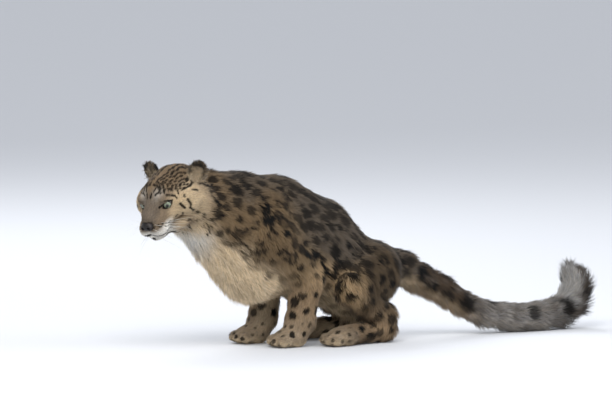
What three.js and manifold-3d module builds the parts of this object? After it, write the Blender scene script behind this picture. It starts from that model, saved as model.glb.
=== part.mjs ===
// A snow leopard squatting on its haunches with its head turned to its left, life size, as a still model.
// Millimetres, +Z up. It faces -X and its left side is towards -Y.
// The origin is the middle of its footprint.
import * as THREE from "three";
import { mergeVertices } from "three/addons/utils/BufferGeometryUtils.js";
import Module from "manifold-3d";

const wasm = await Module();
wasm.setup();

// Driving dimensions
const GAP = 0.3; // kept between pieces that touch
const BLEND = 42; // how far muscles melt into each other
const LEFT = -1;
const RIGHT = 1;
const HEAD_AT = [-403, -28, 446]; // middle of the skull
const HEAD_YAW = 25; // degrees that the head turns to its left
const HEAD_PITCH = 30; // degrees that the nose points down
const HEAD_ROLL = 5; // degrees that its left side is raised
const HEAD_SIZE = 1.1; // the whole head against the sizes in its own frame
const EYE_AT = [58, 37, 21]; // forward, sideways and up from the middle of the skull
const EYE_RADIUS = 14;
const LID_DEPTH = 3;
const EYE_AXIS = [0.8, 0.56, 0.12];
const EYE_SLANT = [-0.5, 0.76, 0.36]; // from the inner corner of the lids to the outer one
const LID_OPENING = [9, 16, 7]; // half depth, half length and half height
const EAR_AT = [-50, 76, 44];
const EAR_AXIS = [0.82, 0.42, 0.12]; // the way that the cup opens
const EAR_LEAN = [-0.15, 0.55, 0.82]; // its long way, from root to tip
const EAR_SIZE = [18, 30, 22]; // half depth, half height and half width of the cup
const EAR_WALL = 0.18; // as a share of the cup
const NOSE_AT = [124, 0, -6];
const NOSE_SIZE = [13, 18, 12];
const NOSTRIL = { at: [135, 9, -8], size: [7, 4.5, 4] };

// The trunk, as ellipsoids: middle, half sizes along, across and up, and its slope in degrees
const TRUNK = [
  { at: [-268, -8, 414], size: [104, 96, 110], slope: -4 },
  { at: [-170, 0, 374], size: [125, 112, 142], slope: 0 },
  { at: [-56, 0, 328], size: [168, 124, 172], slope: -14 },
  { at: [70, 0, 274], size: [168, 126, 164], slope: -27 },
  { at: [190, 0, 205], size: [140, 122, 128], slope: -35 },
  { at: [262, 0, 178], size: [88, 105, 100], slope: -25 },
];
// The throat and brisket, as one tapering roll of long fur
const BRISKET = { from: [-345, -14, 418], to: [-128, 0, 238], radii: [74, 112] };
const TAIL_ROOT = { from: [285, 0, 215], to: [385, 0, 208], radii: [74, 54] };

// Limbs are chains of tapering rolls: joint by joint, each with its radius. Sideways is outwards.
const FORE_LEG = {
  left: [
    { at: [-118, 66, 395], r: 74 },
    { at: [-105, 78, 320], r: 84 },
    { at: [12, 85, 190], r: 54 },
    { at: [0, 77, 74], r: 43 },
    { at: [-22, 78, 34], r: 38 },
  ],
  right: [
    { at: [-128, 66, 395], r: 74 },
    { at: [-118, 78, 320], r: 84 },
    { at: [-16, 85, 188], r: 53 },
    { at: [-36, 77, 74], r: 41 },
    { at: [-58, 78, 34], r: 37 },
  ],
};
const HIND_LEG = {
  left: [
    { at: [238, 62, 205], r: 96 },
    { at: [146, 116, 168], r: 56 },
    { at: [266, 84, 74], r: 49 },
    { at: [276, 88, 38], r: 36 },
    { at: [138, 120, 30], r: 32 },
  ],
  right: [
    { at: [238, 62, 205], r: 96 },
    { at: [150, 116, 166], r: 56 },
    { at: [270, 84, 74], r: 49 },
    { at: [280, 88, 38], r: 36 },
    { at: [150, 120, 30], r: 32 },
  ],
};
const PAW = { size: [50, 44, 29], toes: 4, toeSize: [25, 14, 19], toeSpread: 22, toeReach: 42 };
const FORE_PAW_AT = { left: [-36, 78, 27], right: [-72, 80, 27] };
const HIND_PAW_AT = { left: [112, 127, 27], right: [124, 124, 27] };
// The tail's middle line and its outline, from root to tip
const TAIL = [
  { at: [350, 0, 214], r: 54 },
  { at: [438, 0, 175], r: 52 },
  { at: [512, 0, 138], r: 47 },
  { at: [580, -2, 96], r: 44 },
  { at: [652, -6, 60], r: 44 },
  { at: [745, -10, 45], r: 47 },
  { at: [845, -8, 43], r: 49 },
  { at: [922, -2, 52], r: 53 },
  { at: [970, 4, 84], r: 56 },
  { at: [984, 8, 126], r: 54 },
  { at: [966, 10, 160], r: 38 },
];
const TAIL_LENGTHS = 5;
const PINCH_ROD = 1.2; // radius of a rod that parts faces that only touch
const LEG_MARGIN = 9; // how far outside a leg's own rolls its parting line runs

const radians = THREE.MathUtils.degToRad;
const lerp = THREE.MathUtils.lerp;

// Distance functions. Each takes a point and gives the distance to a shape, negative inside.
function smoothUnion(a, b, k) {
  const h = Math.max(k - Math.abs(a - b), 0) / k;
  return Math.min(a, b) - (h * h * k) / 4;
}

function ellipsoidDistance(p, size) {
  const [x, y, z] = [p[0] / size[0], p[1] / size[1], p[2] / size[2]];
  const k0 = Math.hypot(x, y, z);
  const k1 = Math.hypot(x / size[0], y / size[1], z / size[2]);
  return k1 === 0 ? -Math.min(...size) : (k0 * (k0 - 1)) / k1;
}

function slopedEllipsoid({ at, size, slope }) {
  const [c, s] = [Math.cos(radians(slope)), Math.sin(radians(slope))];
  return ([x, y, z]) => {
    const [dx, dz] = [x - at[0], z - at[2]];
    return ellipsoidDistance([dx * c + dz * s, y - at[1], dz * c - dx * s], size);
  };
}

function taperedRoll(a, b, ra, rb) {
  const along = b.map((v, i) => v - a[i]);
  const span = along.reduce((sum, v) => sum + v * v, 0);
  return (p) => {
    const d = p.map((v, i) => v - a[i]);
    const t = THREE.MathUtils.clamp(d.reduce((sum, v, i) => sum + v * along[i], 0) / span, 0, 1);
    return Math.hypot(...d.map((v, i) => v - along[i] * t)) - (ra + (rb - ra) * t);
  };
}

function outward(at, side) {
  return [at[0], at[1] * side, at[2]];
}

function legField(joints, side, pawAt) {
  const rolls = joints.slice(1).map((joint, i) =>
    taperedRoll(outward(joints[i].at, side), outward(joint.at, side), joints[i].r, joint.r),
  );
  const paw = outward(pawAt, side);
  const toes = Array.from({ length: PAW.toes }, (_, i) => {
    const across = i - (PAW.toes - 1) / 2;
    return [paw[0] - PAW.toeReach + across * across * 4, paw[1] + across * PAW.toeSpread, paw[2] - 7];
  });
  return (p) => {
    let d = rolls.reduce((sum, roll) => smoothUnion(sum, roll(p), 20), Infinity);
    d = smoothUnion(d, ellipsoidDistance(p.map((v, i) => v - paw[i]), PAW.size), 16);
    for (const toe of toes) {
      d = smoothUnion(d, ellipsoidDistance(p.map((v, i) => v - toe[i]), PAW.toeSize), 6);
    }
    return d;
  };
}

const legs = {
  foreleg_left: legField(FORE_LEG.left, LEFT, FORE_PAW_AT.left),
  foreleg_right: legField(FORE_LEG.right, RIGHT, FORE_PAW_AT.right),
  hindleg_left: legField(HIND_LEG.left, LEFT, HIND_PAW_AT.left),
  hindleg_right: legField(HIND_LEG.right, RIGHT, HIND_PAW_AT.right),
};

const trunkShapes = [
  ...TRUNK.map(slopedEllipsoid),
  taperedRoll(BRISKET.from, BRISKET.to, ...BRISKET.radii),
  taperedRoll(TAIL_ROOT.from, TAIL_ROOT.to, ...TAIL_ROOT.radii),
];

function bodyField(p) {
  let d = trunkShapes.reduce((sum, shape) => smoothUnion(sum, shape(p), BLEND), Infinity);
  for (const leg of Object.values(legs)) {
    d = smoothUnion(d, leg(p), BLEND * 0.6);
  }
  return d;
}

// The head, in its own frame: forward, sideways and up from the middle of the skull
const headFrame = new THREE.Matrix4();
{
  const [yaw, pitch] = [radians(HEAD_YAW), radians(HEAD_PITCH)];
  const level = Math.cos(pitch);
  const forward = new THREE.Vector3(-Math.cos(yaw) * level, -Math.sin(yaw) * level, -Math.sin(pitch));
  const side = new THREE.Vector3(Math.sin(yaw), -Math.cos(yaw), 0);
  side.applyAxisAngle(forward, radians(HEAD_ROLL));
  const up = new THREE.Vector3().crossVectors(forward, side);
  headFrame.makeBasis(forward, side, up).scale(new THREE.Vector3(HEAD_SIZE, HEAD_SIZE, HEAD_SIZE));
  headFrame.setPosition(...HEAD_AT);
}

const HEAD_SHAPES = [
  { at: [-22, 0, 15], size: [80, 75, 59] }, // braincase
  { at: [28, 0, 32], size: [54, 54, 44] }, // forehead
  { at: [8, 56, 2], size: [54, 36, 42] }, // cheekbones
  { at: [-28, 58, -26], size: [50, 38, 50] }, // ruff
  { at: [86, 0, -16], size: [44, 37, 34] }, // muzzle
  { at: [101, 20, -25], size: [31, 23, 23] }, // whisker pads
  { at: [84, 0, -48], size: [38, 27, 18] }, // chin
  { at: [36, 30, -46], size: [56, 28, 26] }, // jaw
  { at: [56, 34, 38], size: [22, 20, 12] }, // brows
];
const BRIDGE = { from: [48, 0, 36], to: [112, 0, 10], radii: [26, 17] };

function headField(p) {
  const folded = [p[0], Math.abs(p[1]), p[2]];
  let d = taperedRoll(BRIDGE.from, BRIDGE.to, ...BRIDGE.radii)(p);
  for (const { at, size } of HEAD_SHAPES) {
    d = smoothUnion(d, ellipsoidDistance(folded.map((v, i) => v - at[i]), size), 14);
  }
  const fromEye = Math.hypot(...folded.map((v, i) => v - EYE_AT[i]));
  return smoothUnion(d, fromEye - EYE_RADIUS - LID_DEPTH, 5);
}

// A closed net over a field, with one vertex in each cell that the surface crosses
function gridLine(low, high, step) {
  const count = Math.max(2, Math.round((high - low) / step));
  return Array.from({ length: count + 1 }, (_, i) => low + ((high - low) * i) / count);
}

const CORNERS = Array.from({ length: 8 }, (_, n) => [n & 1, (n >> 1) & 1, n >> 2]);
const CELL_EDGES = CORNERS.flatMap((_, m) =>
  [1, 2, 4].filter((bit) => !(m & bit)).map((bit) => [m, m | bit]),
);

function netOf(field, [xs, ys, zs], level = 0) {
  const [nx, ny, nz] = [xs.length, ys.length, zs.length];
  const at = (i, j, k) => (i * ny + j) * nz + k;
  const values = new Float64Array(nx * ny * nz);
  for (let i = 0; i < nx; i++) {
    for (let j = 0; j < ny; j++) {
      for (let k = 0; k < nz; k++) {
        const edge = i === 0 || j === 0 || k === 0 || i === nx - 1 || j === ny - 1 || k === nz - 1;
        const d = field([xs[i], ys[j], zs[k]]) - level;
        values[at(i, j, k)] = edge ? Math.max(d, GAP) : d;
      }
    }
  }
  const positions = [];
  const vertexOf = new Map();
  for (let i = 0; i < nx - 1; i++) {
    for (let j = 0; j < ny - 1; j++) {
      for (let k = 0; k < nz - 1; k++) {
        const d = CORNERS.map(([a, b, c]) => values[at(i + a, j + b, k + c)]);
        const sum = [0, 0, 0];
        let crossings = 0;
        for (const [m, n] of CELL_EDGES) {
          if (d[m] < 0 === d[n] < 0) continue;
          const t = d[m] / (d[m] - d[n]);
          const [p, q] = [CORNERS[m], CORNERS[n]];
          sum[0] += lerp(xs[i + p[0]], xs[i + q[0]], t);
          sum[1] += lerp(ys[j + p[1]], ys[j + q[1]], t);
          sum[2] += lerp(zs[k + p[2]], zs[k + q[2]], t);
          crossings++;
        }
        if (!crossings) continue;
        vertexOf.set(at(i, j, k), positions.length / 3);
        positions.push(...sum.map((v) => v / crossings));
      }
    }
  }
  const index = [];
  const length = (m, n) => Math.hypot(...[0, 1, 2].map((e) => positions[3 * m + e] - positions[3 * n + e]));
  const addQuad = (cells, flip) => {
    const [p, q, r, s] = (flip ? cells.reverse() : cells).map((cell) => vertexOf.get(at(...cell)));
    if (length(p, r) < length(q, s)) index.push(p, q, r, p, r, s);
    else index.push(p, q, s, q, r, s);
  };
  for (let i = 0; i < nx - 1; i++) {
    for (let j = 0; j < ny - 1; j++) {
      for (let k = 0; k < nz - 1; k++) {
        const inside = values[at(i, j, k)] < 0;
        if (j && k && inside !== values[at(i + 1, j, k)] < 0) {
          addQuad([[i, j - 1, k - 1], [i, j, k - 1], [i, j, k], [i, j - 1, k]], !inside);
        }
        if (i && k && inside !== values[at(i, j + 1, k)] < 0) {
          addQuad([[i - 1, j, k - 1], [i - 1, j, k], [i, j, k], [i, j, k - 1]], !inside);
        }
        if (i && j && inside !== values[at(i, j, k + 1)] < 0) {
          addQuad([[i - 1, j - 1, k], [i, j - 1, k], [i, j, k], [i - 1, j, k]], !inside);
        }
      }
    }
  }
  const geometry = new THREE.BufferGeometry();
  geometry.setAttribute("position", new THREE.Float32BufferAttribute(positions, 3));
  geometry.setIndex(index);
  return geometry;
}

// Solids: three.js geometry in, joined and cut by manifold-3d, and out again as geometry
function solidOf(geometry) {
  const bare = geometry.clone();
  bare.deleteAttribute("normal");
  bare.deleteAttribute("uv");
  const merged = mergeVertices(bare, 1e-3);
  return new wasm.Manifold(
    new wasm.Mesh({
      numProp: 3,
      vertProperties: new Float32Array(merged.attributes.position.array),
      triVerts: new Uint32Array(merged.index.array),
    }),
  );
}

function largest(solid) {
  return solid.decompose().reduce((best, piece) => (piece.volume() > best.volume() ? piece : best));
}

// Edges where a solid only touches itself, as pairs of points: four faces share each of them
function pinches(solid) {
  const { position } = geometryOf(solid).attributes;
  const { index } = geometryOf(solid);
  const edges = new Map();
  for (let i = 0; i < index.count; i += 3) {
    const corners = [0, 1, 2].map((e) =>
      new THREE.Vector3().fromBufferAttribute(position, index.getX(i + e)),
    );
    const names = corners.map((corner) => corner.toArray().map((v) => v.toFixed(4)).join());
    if (new Set(names).size < 3) continue;
    for (const [m, n] of [[0, 1], [1, 2], [2, 0]]) {
      const name = [names[m], names[n]].sort().join(" ");
      edges.set(name, [...(edges.get(name) ?? []), [corners[m], corners[n]]]);
    }
  }
  return [...edges.values()].filter((uses) => uses.length > 2).map((uses) => uses[0]);
}

// The same solid with a thin rod taken out along each such edge, so that its faces part there
function mended(solid) {
  return pinches(solid).reduce((whole, [a, b]) => {
    const rod = new THREE.CylinderGeometry(PINCH_ROD, PINCH_ROD, a.distanceTo(b) + PINCH_ROD, 5);
    const along = b.clone().sub(a).normalize();
    rod.applyQuaternion(new THREE.Quaternion().setFromUnitVectors(new THREE.Vector3(0, 1, 0), along));
    const middle = a.clone().add(b).multiplyScalar(0.5);
    return whole.subtract(solidOf(rod.translate(...middle)));
  }, solid);
}

function geometryOf(solid) {
  const { vertProperties, triVerts, numProp } = solid.getMesh();
  const positions = [];
  for (let i = 0; i < vertProperties.length; i += numProp) {
    positions.push(vertProperties[i], vertProperties[i + 1], vertProperties[i + 2]);
  }
  const geometry = new THREE.BufferGeometry();
  geometry.setAttribute("position", new THREE.Float32BufferAttribute(positions, 3));
  geometry.setIndex(Array.from(triVerts));
  return geometry;
}

// The same net with each vertex moved out along its normal, so that its faces stay parallel
function swollen(geometry, distance) {
  const grown = geometry.clone();
  grown.computeVertexNormals();
  const { position, normal } = grown.attributes;
  for (let i = 0; i < position.count; i++) {
    const at = new THREE.Vector3().fromBufferAttribute(position, i);
    at.addScaledVector(new THREE.Vector3().fromBufferAttribute(normal, i), distance);
    position.setXYZ(i, at.x, at.y, at.z);
  }
  return grown;
}

// What lies ahead of a plane through a point, kept clear of it by half the gap
function ahead(solid, at, normal) {
  const n = new THREE.Vector3(...normal).normalize();
  return solid.trimByPlane(n.toArray(), n.dot(new THREE.Vector3(...at)) + GAP / 2);
}

function behind(solid, at, normal) {
  return ahead(solid, at, normal.map((v) => -v));
}

function onFloor(solid) {
  return solid.trimByPlane([0, 0, 1], 0);
}

// A closed skin over rings of points, each ring seen from ahead turning anticlockwise round the line
function loft(rings, tip = null) {
  const sides = rings[0].length;
  const points = rings.flat();
  const index = [];
  const fan = (first, apex, flip) => {
    for (let i = 0; i < sides; i++) {
      const [a, b] = [first + i, first + ((i + 1) % sides)];
      index.push(...(flip ? [b, a, apex] : [a, b, apex]));
    }
  };
  for (let r = 0; r < rings.length - 1; r++) {
    for (let i = 0; i < sides; i++) {
      const [a, b] = [r * sides + i, r * sides + ((i + 1) % sides)];
      index.push(a, b, b + sides, a, b + sides, a + sides);
    }
  }
  const middle = (ring) => [0, 1, 2].map((e) => ring.reduce((sum, p) => sum + p[e], 0) / sides);
  points.push(middle(rings[0]), tip ?? middle(rings[rings.length - 1]));
  fan(0, points.length - 2, true);
  fan((rings.length - 1) * sides, points.length - 1, false);
  const geometry = new THREE.BufferGeometry();
  geometry.setAttribute("position", new THREE.Float32BufferAttribute(points.flat(), 3));
  geometry.setIndex(index);
  return geometry;
}

// Where the body is parted
const NECK_CUT = { at: [-345, -18, 420], normal: [-0.86, -0.32, -0.4] };
const SHOULDER_CUT = { at: [-235, 0, 360], normal: [-1, 0, -0.35] };
const WAIST_CUT = { at: [75, 0, 260], normal: [-1, 0, -0.15] };
const TAIL_CUT = { at: [366, 0, 206], normal: [0.93, 0, -0.36] };
const FOREARM_CUT = { at: [0, 0, 142], normal: [0, 0, -1] };
const WRIST_CUT = { at: [-20, 0, 66], normal: [-0.3, 0, -1] };
const HOCK_CUT = { at: [168, 0, 36], normal: [-0.75, 0, -0.66] };

const TRUNK_CELL = 36;
const LEG_CELL = 22;
const PAW_CELL = 14;

const group = new THREE.Group();

function finish(color, roughness) {
  return new THREE.MeshStandardMaterial({ color, roughness, metalness: 0 });
}
const COAT = finish(0x8f8270, 0.9);
const PALE_COAT = finish(0xd9cdb8, 0.9);
const LEATHER = finish(0x4a3a36, 0.55);
const EYE = finish(0x9aa08c, 0.15);

function addNode(name, solid, material = COAT) {
  const mesh = new THREE.Mesh(geometryOf(largest(mended(largest(onFloor(solid))))), material);
  mesh.name = name;
  group.add(mesh);
}

// The trunk and the legs, cut out of one body
const trunkGrid = [
  gridLine(-440, 420, TRUNK_CELL),
  gridLine(-240, 240, TRUNK_CELL),
  gridLine(-20, 560, TRUNK_CELL),
];
let trunk = solidOf(netOf(bodyField, trunkGrid));
const partings = {};
for (const [name, leg] of Object.entries(legs)) {
  partings[name] = netOf(leg, trunkGrid, LEG_MARGIN);
  trunk = trunk.subtract(solidOf(swollen(partings[name], GAP)));
}
addNode("neck", behind(ahead(trunk, SHOULDER_CUT.at, SHOULDER_CUT.normal), NECK_CUT.at, NECK_CUT.normal));
addNode("chest", ahead(behind(trunk, SHOULDER_CUT.at, SHOULDER_CUT.normal), WAIST_CUT.at, WAIST_CUT.normal));
addNode("loins", behind(behind(trunk, WAIST_CUT.at, WAIST_CUT.normal), TAIL_CUT.at, TAIL_CUT.normal));

for (const name of Object.keys(legs)) {
  const [part, side] = name.split("_");
  const across = side === "left" ? [-240, -1] : [1, 240];
  const along = part === "foreleg" ? [-260, 110] : [20, 380];
  const upward = [...gridLine(-14, 70, PAW_CELL), ...gridLine(70 + LEG_CELL, 520, 32)];
  const grid = [gridLine(...along, LEG_CELL), gridLine(...across, LEG_CELL * 0.85), upward];
  let limb = solidOf(netOf(bodyField, grid)).intersect(solidOf(partings[name]));
  if (part === "foreleg") {
    const lower = ahead(limb, FOREARM_CUT.at, FOREARM_CUT.normal);
    addNode(`upper_arm_${side}`, behind(limb, FOREARM_CUT.at, FOREARM_CUT.normal));
    addNode(`forearm_${side}`, behind(lower, WRIST_CUT.at, WRIST_CUT.normal));
    addNode(`forepaw_${side}`, ahead(lower, WRIST_CUT.at, WRIST_CUT.normal));
  } else {
    limb = limb.subtract(solidOf(swollen(partings[`foreleg_${side}`], GAP)));
    addNode(`thigh_${side}`, behind(limb, HOCK_CUT.at, HOCK_CUT.normal));
    addNode(`hindpaw_${side}`, ahead(limb, HOCK_CUT.at, HOCK_CUT.normal));
  }
}

// The tail, a tapering loft along one curve, in a few lengths
const tailLine = new THREE.CatmullRomCurve3(TAIL.map(({ at }) => new THREE.Vector3(...at)));
function tailRadius(t) {
  const step = Math.min(t * (TAIL.length - 1), TAIL.length - 1 - 1e-6);
  const i = Math.floor(step);
  return lerp(TAIL[i].r, TAIL[i + 1].r, step - i);
}
function tailFrame(t) {
  const along = tailLine.getTangent(t);
  const across = new THREE.Vector3(0, 1, 0);
  const up = new THREE.Vector3().crossVectors(along, across).normalize();
  return { at: tailLine.getPoint(t), along, across: across.crossVectors(up, along), up };
}
function tailPoint(t, angle, reach) {
  const { at, across, up } = tailFrame(t);
  const sideways = at.clone().addScaledVector(across, Math.cos(angle) * reach);
  return sideways.addScaledVector(up, Math.sin(angle) * reach);
}
function tailRing(t, sides, share) {
  const angles = Array.from({ length: sides }, (_, i) => (2 * Math.PI * i) / sides);
  return angles.map((angle) => tailPoint(t, angle, tailRadius(t) * share).toArray());
}

const TAIL_SIDES = 14;
const TAIL_STEPS = 34;
const tailSolid = solidOf(loft(gridLine(0, 1, 1 / TAIL_STEPS).map((t) => tailRing(t, TAIL_SIDES, 1))));
for (let n = 0; n < TAIL_LENGTHS; n++) {
  let piece = tailSolid;
  const ends = [n / TAIL_LENGTHS, (n + 1) / TAIL_LENGTHS];
  if (n === 0) {
    piece = ahead(piece, TAIL_CUT.at, TAIL_CUT.normal);
  } else {
    const { at, along } = tailFrame(ends[0]);
    piece = ahead(piece, at.toArray(), along.toArray());
  }
  if (n < TAIL_LENGTHS - 1) {
    const { at, along } = tailFrame(ends[1]);
    piece = behind(piece, at.toArray(), along.toArray());
  }
  addNode(`tail_${n + 1}`, piece);
}

// The head and what is set in it
const headGrid = [
  [...gridLine(-116, 28, 18), ...gridLine(38, 142, 8.6)],
  gridLine(-117, 117, 9.8),
  [...gridLine(-98, 56, 9), ...gridLine(70, 100, 15)],
];
function inHead(solid) {
  return solid.transform(headFrame.elements);
}
function mirrored([forward, side, up], hand) {
  return [forward, side * hand, up];
}
// A ball scaled to three half sizes, with its long side and its front turned the given ways
function turnedBall(at, size, long, front, widthSegments = 14, heightSegments = 8) {
  const x = new THREE.Vector3(...front).normalize();
  const z = new THREE.Vector3().crossVectors(new THREE.Vector3(...long), x).normalize();
  const y = new THREE.Vector3().crossVectors(z, x);
  const turn = new THREE.Matrix4().makeBasis(x, y, z).setPosition(...at);
  return new THREE.SphereGeometry(1, widthSegments, heightSegments).scale(...size).applyMatrix4(turn);
}

const headNet = netOf(headField, headGrid);
const headSkin = solidOf(swollen(headNet, GAP));
let head = solidOf(headNet);
for (const [side, hand] of [["left", 1], ["right", -1]]) {
  const at = mirrored(EYE_AT, hand);
  const axis = mirrored(EYE_AXIS, hand);
  const opening = at.map((v, i) => v + axis[i] * (EYE_RADIUS + 1));
  const ball = (r) => solidOf(turnedBall(at, [r, r, r], mirrored(EYE_SLANT, hand), axis));
  const slit = turnedBall(opening, LID_OPENING, mirrored(EYE_SLANT, hand), axis);
  head = head.subtract(ball(EYE_RADIUS + GAP)).subtract(solidOf(slit));
  addNode(`eye_${side}`, inHead(ball(EYE_RADIUS)), EYE);

  const opens = mirrored(EAR_AXIS, hand);
  const upright = mirrored(EAR_LEAN, hand);
  const cup = (shift, share) => {
    const at = mirrored(EAR_AT, hand).map((v, i) => v + opens[i] * EAR_SIZE[0] * shift);
    return solidOf(turnedBall(at, EAR_SIZE.map((v) => v * share), upright, opens));
  };
  addNode(`ear_${side}`, inHead(cup(0, 1).subtract(cup(0.5, 1 - EAR_WALL)).subtract(headSkin)));
}

function noseField([f, s, u]) {
  const pad = ellipsoidDistance([f - NOSE_AT[0], s, u - NOSE_AT[2]], NOSE_SIZE);
  const fromNostril = [f - NOSTRIL.at[0], Math.abs(s) - NOSTRIL.at[1], u - NOSTRIL.at[2]];
  const nostril = ellipsoidDistance(fromNostril, NOSTRIL.size);
  return Math.max(pad, -nostril);
}
const noseNet = netOf(noseField, [gridLine(106, 146, 5), gridLine(-25, 25, 4.6), gridLine(-26, 14, 5)]);
addNode("nose", inHead(solidOf(noseNet)), LEATHER);
head = head.subtract(solidOf(swollen(noseNet, GAP)));

// The line of the mouth, a groove that follows the skin from corner to corner
const MOUTH = {
  from: [56, 0],
  front: -33,
  low: -42,
  corner: -46,
  lowest: 0.4, // where it is low, as a share of the way to the corner
  halfAngle: 64,
  radius: 2.8,
};
function skinAlong(origin, direction) {
  let [near, far] = [0, 150];
  for (let i = 0; i < 24; i++) {
    const middle = (near + far) / 2;
    if (headField(origin.map((v, e) => v + direction[e] * middle)) < 0) near = middle;
    else far = middle;
  }
  return origin.map((v, e) => v + direction[e] * near);
}
const mouthRings = gridLine(-MOUTH.halfAngle, MOUTH.halfAngle, 8).map((degrees) => {
  const [c, s] = [Math.cos(radians(degrees)), Math.sin(radians(degrees))];
  const share = Math.abs(degrees) / MOUTH.halfAngle;
  const dip = MOUTH.lowest;
  const u = share < dip
    ? lerp(MOUTH.front, MOUTH.low, share / dip)
    : lerp(MOUTH.low, MOUTH.corner, (share - dip) / (1 - dip));
  const [f, side, up] = skinAlong([...MOUTH.from, u], [c, s, 0]);
  const r = MOUTH.radius;
  return [
    [f + c * r, side + s * r, up],
    [f, side, up - r],
    [f - c * r, side - s * r, up],
    [f, side, up + r],
  ];
});
head = head.subtract(solidOf(loft(mouthRings)));
addNode("head", ahead(inHead(head), NECK_CUT.at, NECK_CUT.normal));

// The origin is the middle of the box that holds the animal, at the floor
group.updateMatrixWorld(true);
const middle = new THREE.Box3().setFromObject(group, true).getCenter(new THREE.Vector3());
for (const mesh of group.children) mesh.position.set(-middle.x, -middle.y, 0);

export default group;
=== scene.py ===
"""A snow leopard squatting with its head turned to its left, life size.

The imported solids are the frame. One skin, a coat of solid tufts, eyes, nose and whiskers take their place.
Shapes are worked out in millimetres in the animal's own frame, where it faces -X, its left side is towards -Y
and the floor is Z = 0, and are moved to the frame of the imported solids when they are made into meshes.
"""

import logging
import math
from dataclasses import dataclass, field
from enum import Enum
from typing import Callable

import bmesh
import bpy
import numpy as np
import openvdb
from mathutils import Matrix, Vector

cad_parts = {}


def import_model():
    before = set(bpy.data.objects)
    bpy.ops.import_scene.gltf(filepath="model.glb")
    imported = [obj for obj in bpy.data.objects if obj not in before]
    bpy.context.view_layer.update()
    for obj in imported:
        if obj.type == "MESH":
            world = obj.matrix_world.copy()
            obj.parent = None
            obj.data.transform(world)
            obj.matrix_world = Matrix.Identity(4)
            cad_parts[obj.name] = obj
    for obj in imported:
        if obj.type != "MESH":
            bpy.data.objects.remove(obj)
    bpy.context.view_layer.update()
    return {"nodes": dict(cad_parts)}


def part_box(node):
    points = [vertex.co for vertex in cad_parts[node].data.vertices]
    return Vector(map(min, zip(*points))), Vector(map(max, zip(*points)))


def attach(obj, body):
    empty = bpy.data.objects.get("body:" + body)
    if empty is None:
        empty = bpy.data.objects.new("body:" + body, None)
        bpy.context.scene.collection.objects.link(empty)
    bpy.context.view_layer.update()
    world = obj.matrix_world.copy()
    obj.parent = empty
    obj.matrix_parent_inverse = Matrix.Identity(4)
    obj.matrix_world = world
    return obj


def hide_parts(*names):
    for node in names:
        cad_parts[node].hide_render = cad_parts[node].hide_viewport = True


LOG = logging.getLogger("snow_leopard")
MM = 0.001
Vec = tuple[float, float, float]
Array = np.ndarray


class Side(Enum):
    """A side of the animal, with its sign along Y."""

    LEFT = -1
    RIGHT = 1


class Coat(Enum):
    """Kinds of coat: tuft length and width in mm, lift in degrees, depth over the skin in mm, spacing in mm."""

    MUZZLE = (5.0, 1.3, 14.0, 1.6, 1.8)
    FACE = (9.5, 1.6, 18.0, 3.0, 2.1)
    CROWN = (15.0, 2.0, 22.0, 5.6, 2.5)
    CHEEK = (26.0, 2.4, 26.0, 11.0, 2.8)
    CHEST = (46.0, 3.3, 28.0, 21.0, 3.5)
    BACK = (30.0, 2.7, 26.0, 14.0, 3.4)
    HAUNCH = (36.0, 2.9, 27.0, 18.0, 3.5)
    LEG = (22.0, 2.3, 25.0, 9.0, 3.0)
    PAW = (11.0, 1.9, 20.0, 3.6, 2.5)
    TAIL = (38.0, 3.1, 28.0, 18.0, 3.4)
    TAIL_TIP = (46.0, 3.0, 36.0, 26.0, 3.1)

    @property
    def length(self) -> float:
        """Length of a tuft, in mm."""
        return self.value[0]

    @property
    def width(self) -> float:
        """Width of a tuft at its root, in mm."""
        return self.value[1]

    @property
    def lift(self) -> float:
        """Angle of a tuft over the skin, in degrees."""
        return self.value[2]

    @property
    def depth(self) -> float:
        """How far the tips stand over the skin, in mm."""
        return self.value[3]

    @property
    def spacing(self) -> float:
        """Mean distance from one tuft to the next, in mm."""
        return self.value[4]


def unit(v: Array) -> Array:
    """Scale vectors to length one.

    Args:
        v: Vectors along the last axis.

    Returns:
        The same vectors with length one.
    """
    return v / np.maximum(np.linalg.norm(v, axis=-1, keepdims=True), 1e-9)


def smooth_union(a: Array, b: Array, k: float) -> Array:
    """Join two distance fields with a rounded seam.

    Args:
        a: First distances.
        b: Second distances.
        k: Width of the rounding.

    Returns:
        The joined distances.
    """
    h = np.maximum(k - np.abs(a - b), 0) / k
    return np.minimum(a, b) - h * h * k / 4


def smoothstep(low: float, high: float, x: Array) -> Array:
    """Rise smoothly from 0 at low to 1 at high.

    Args:
        low: Where the rise starts.
        high: Where it ends.
        x: Values.

    Returns:
        Shares from 0 to 1.
    """
    t = np.clip((x - low) / (high - low), 0, 1)
    return t * t * (3 - 2 * t)


def linear(rgb: Vec) -> Array:
    """Turn a display colour into a linear one.

    Args:
        rgb: Display red, green and blue.

    Returns:
        Linear red, green and blue.
    """
    c = np.array(rgb, float)
    return np.where(c <= 0.04045, c / 12.92, ((c + 0.055) / 1.055) ** 2.4)


def noise(p: Array, scale: float, seed: int) -> Array:
    """Smooth random values in space.

    Args:
        p: Points, in mm.
        scale: Size of one blotch, in mm.
        seed: Which noise.

    Returns:
        Values from 0 to 1.
    """
    q = p / scale + seed * 17.31
    cell = np.floor(q).astype(np.int64)
    t = q - cell
    t = t * t * (3 - 2 * t)
    out = np.zeros(len(p))
    for corner in range(8):
        offset = np.array([corner & 1, (corner >> 1) & 1, corner >> 2])
        c = cell + offset
        h = (c[:, 0] * 73856093) ^ (c[:, 1] * 19349663) ^ (c[:, 2] * 83492791) ^ (seed * 2654435)
        h = (h ^ (h >> 13)) * 1274126177
        value = ((h ^ (h >> 16)) & 0xFFFF) / 65535.0
        weight = np.prod(np.where(offset, t, 1 - t), axis=1)
        out += value * weight
    return out


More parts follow.
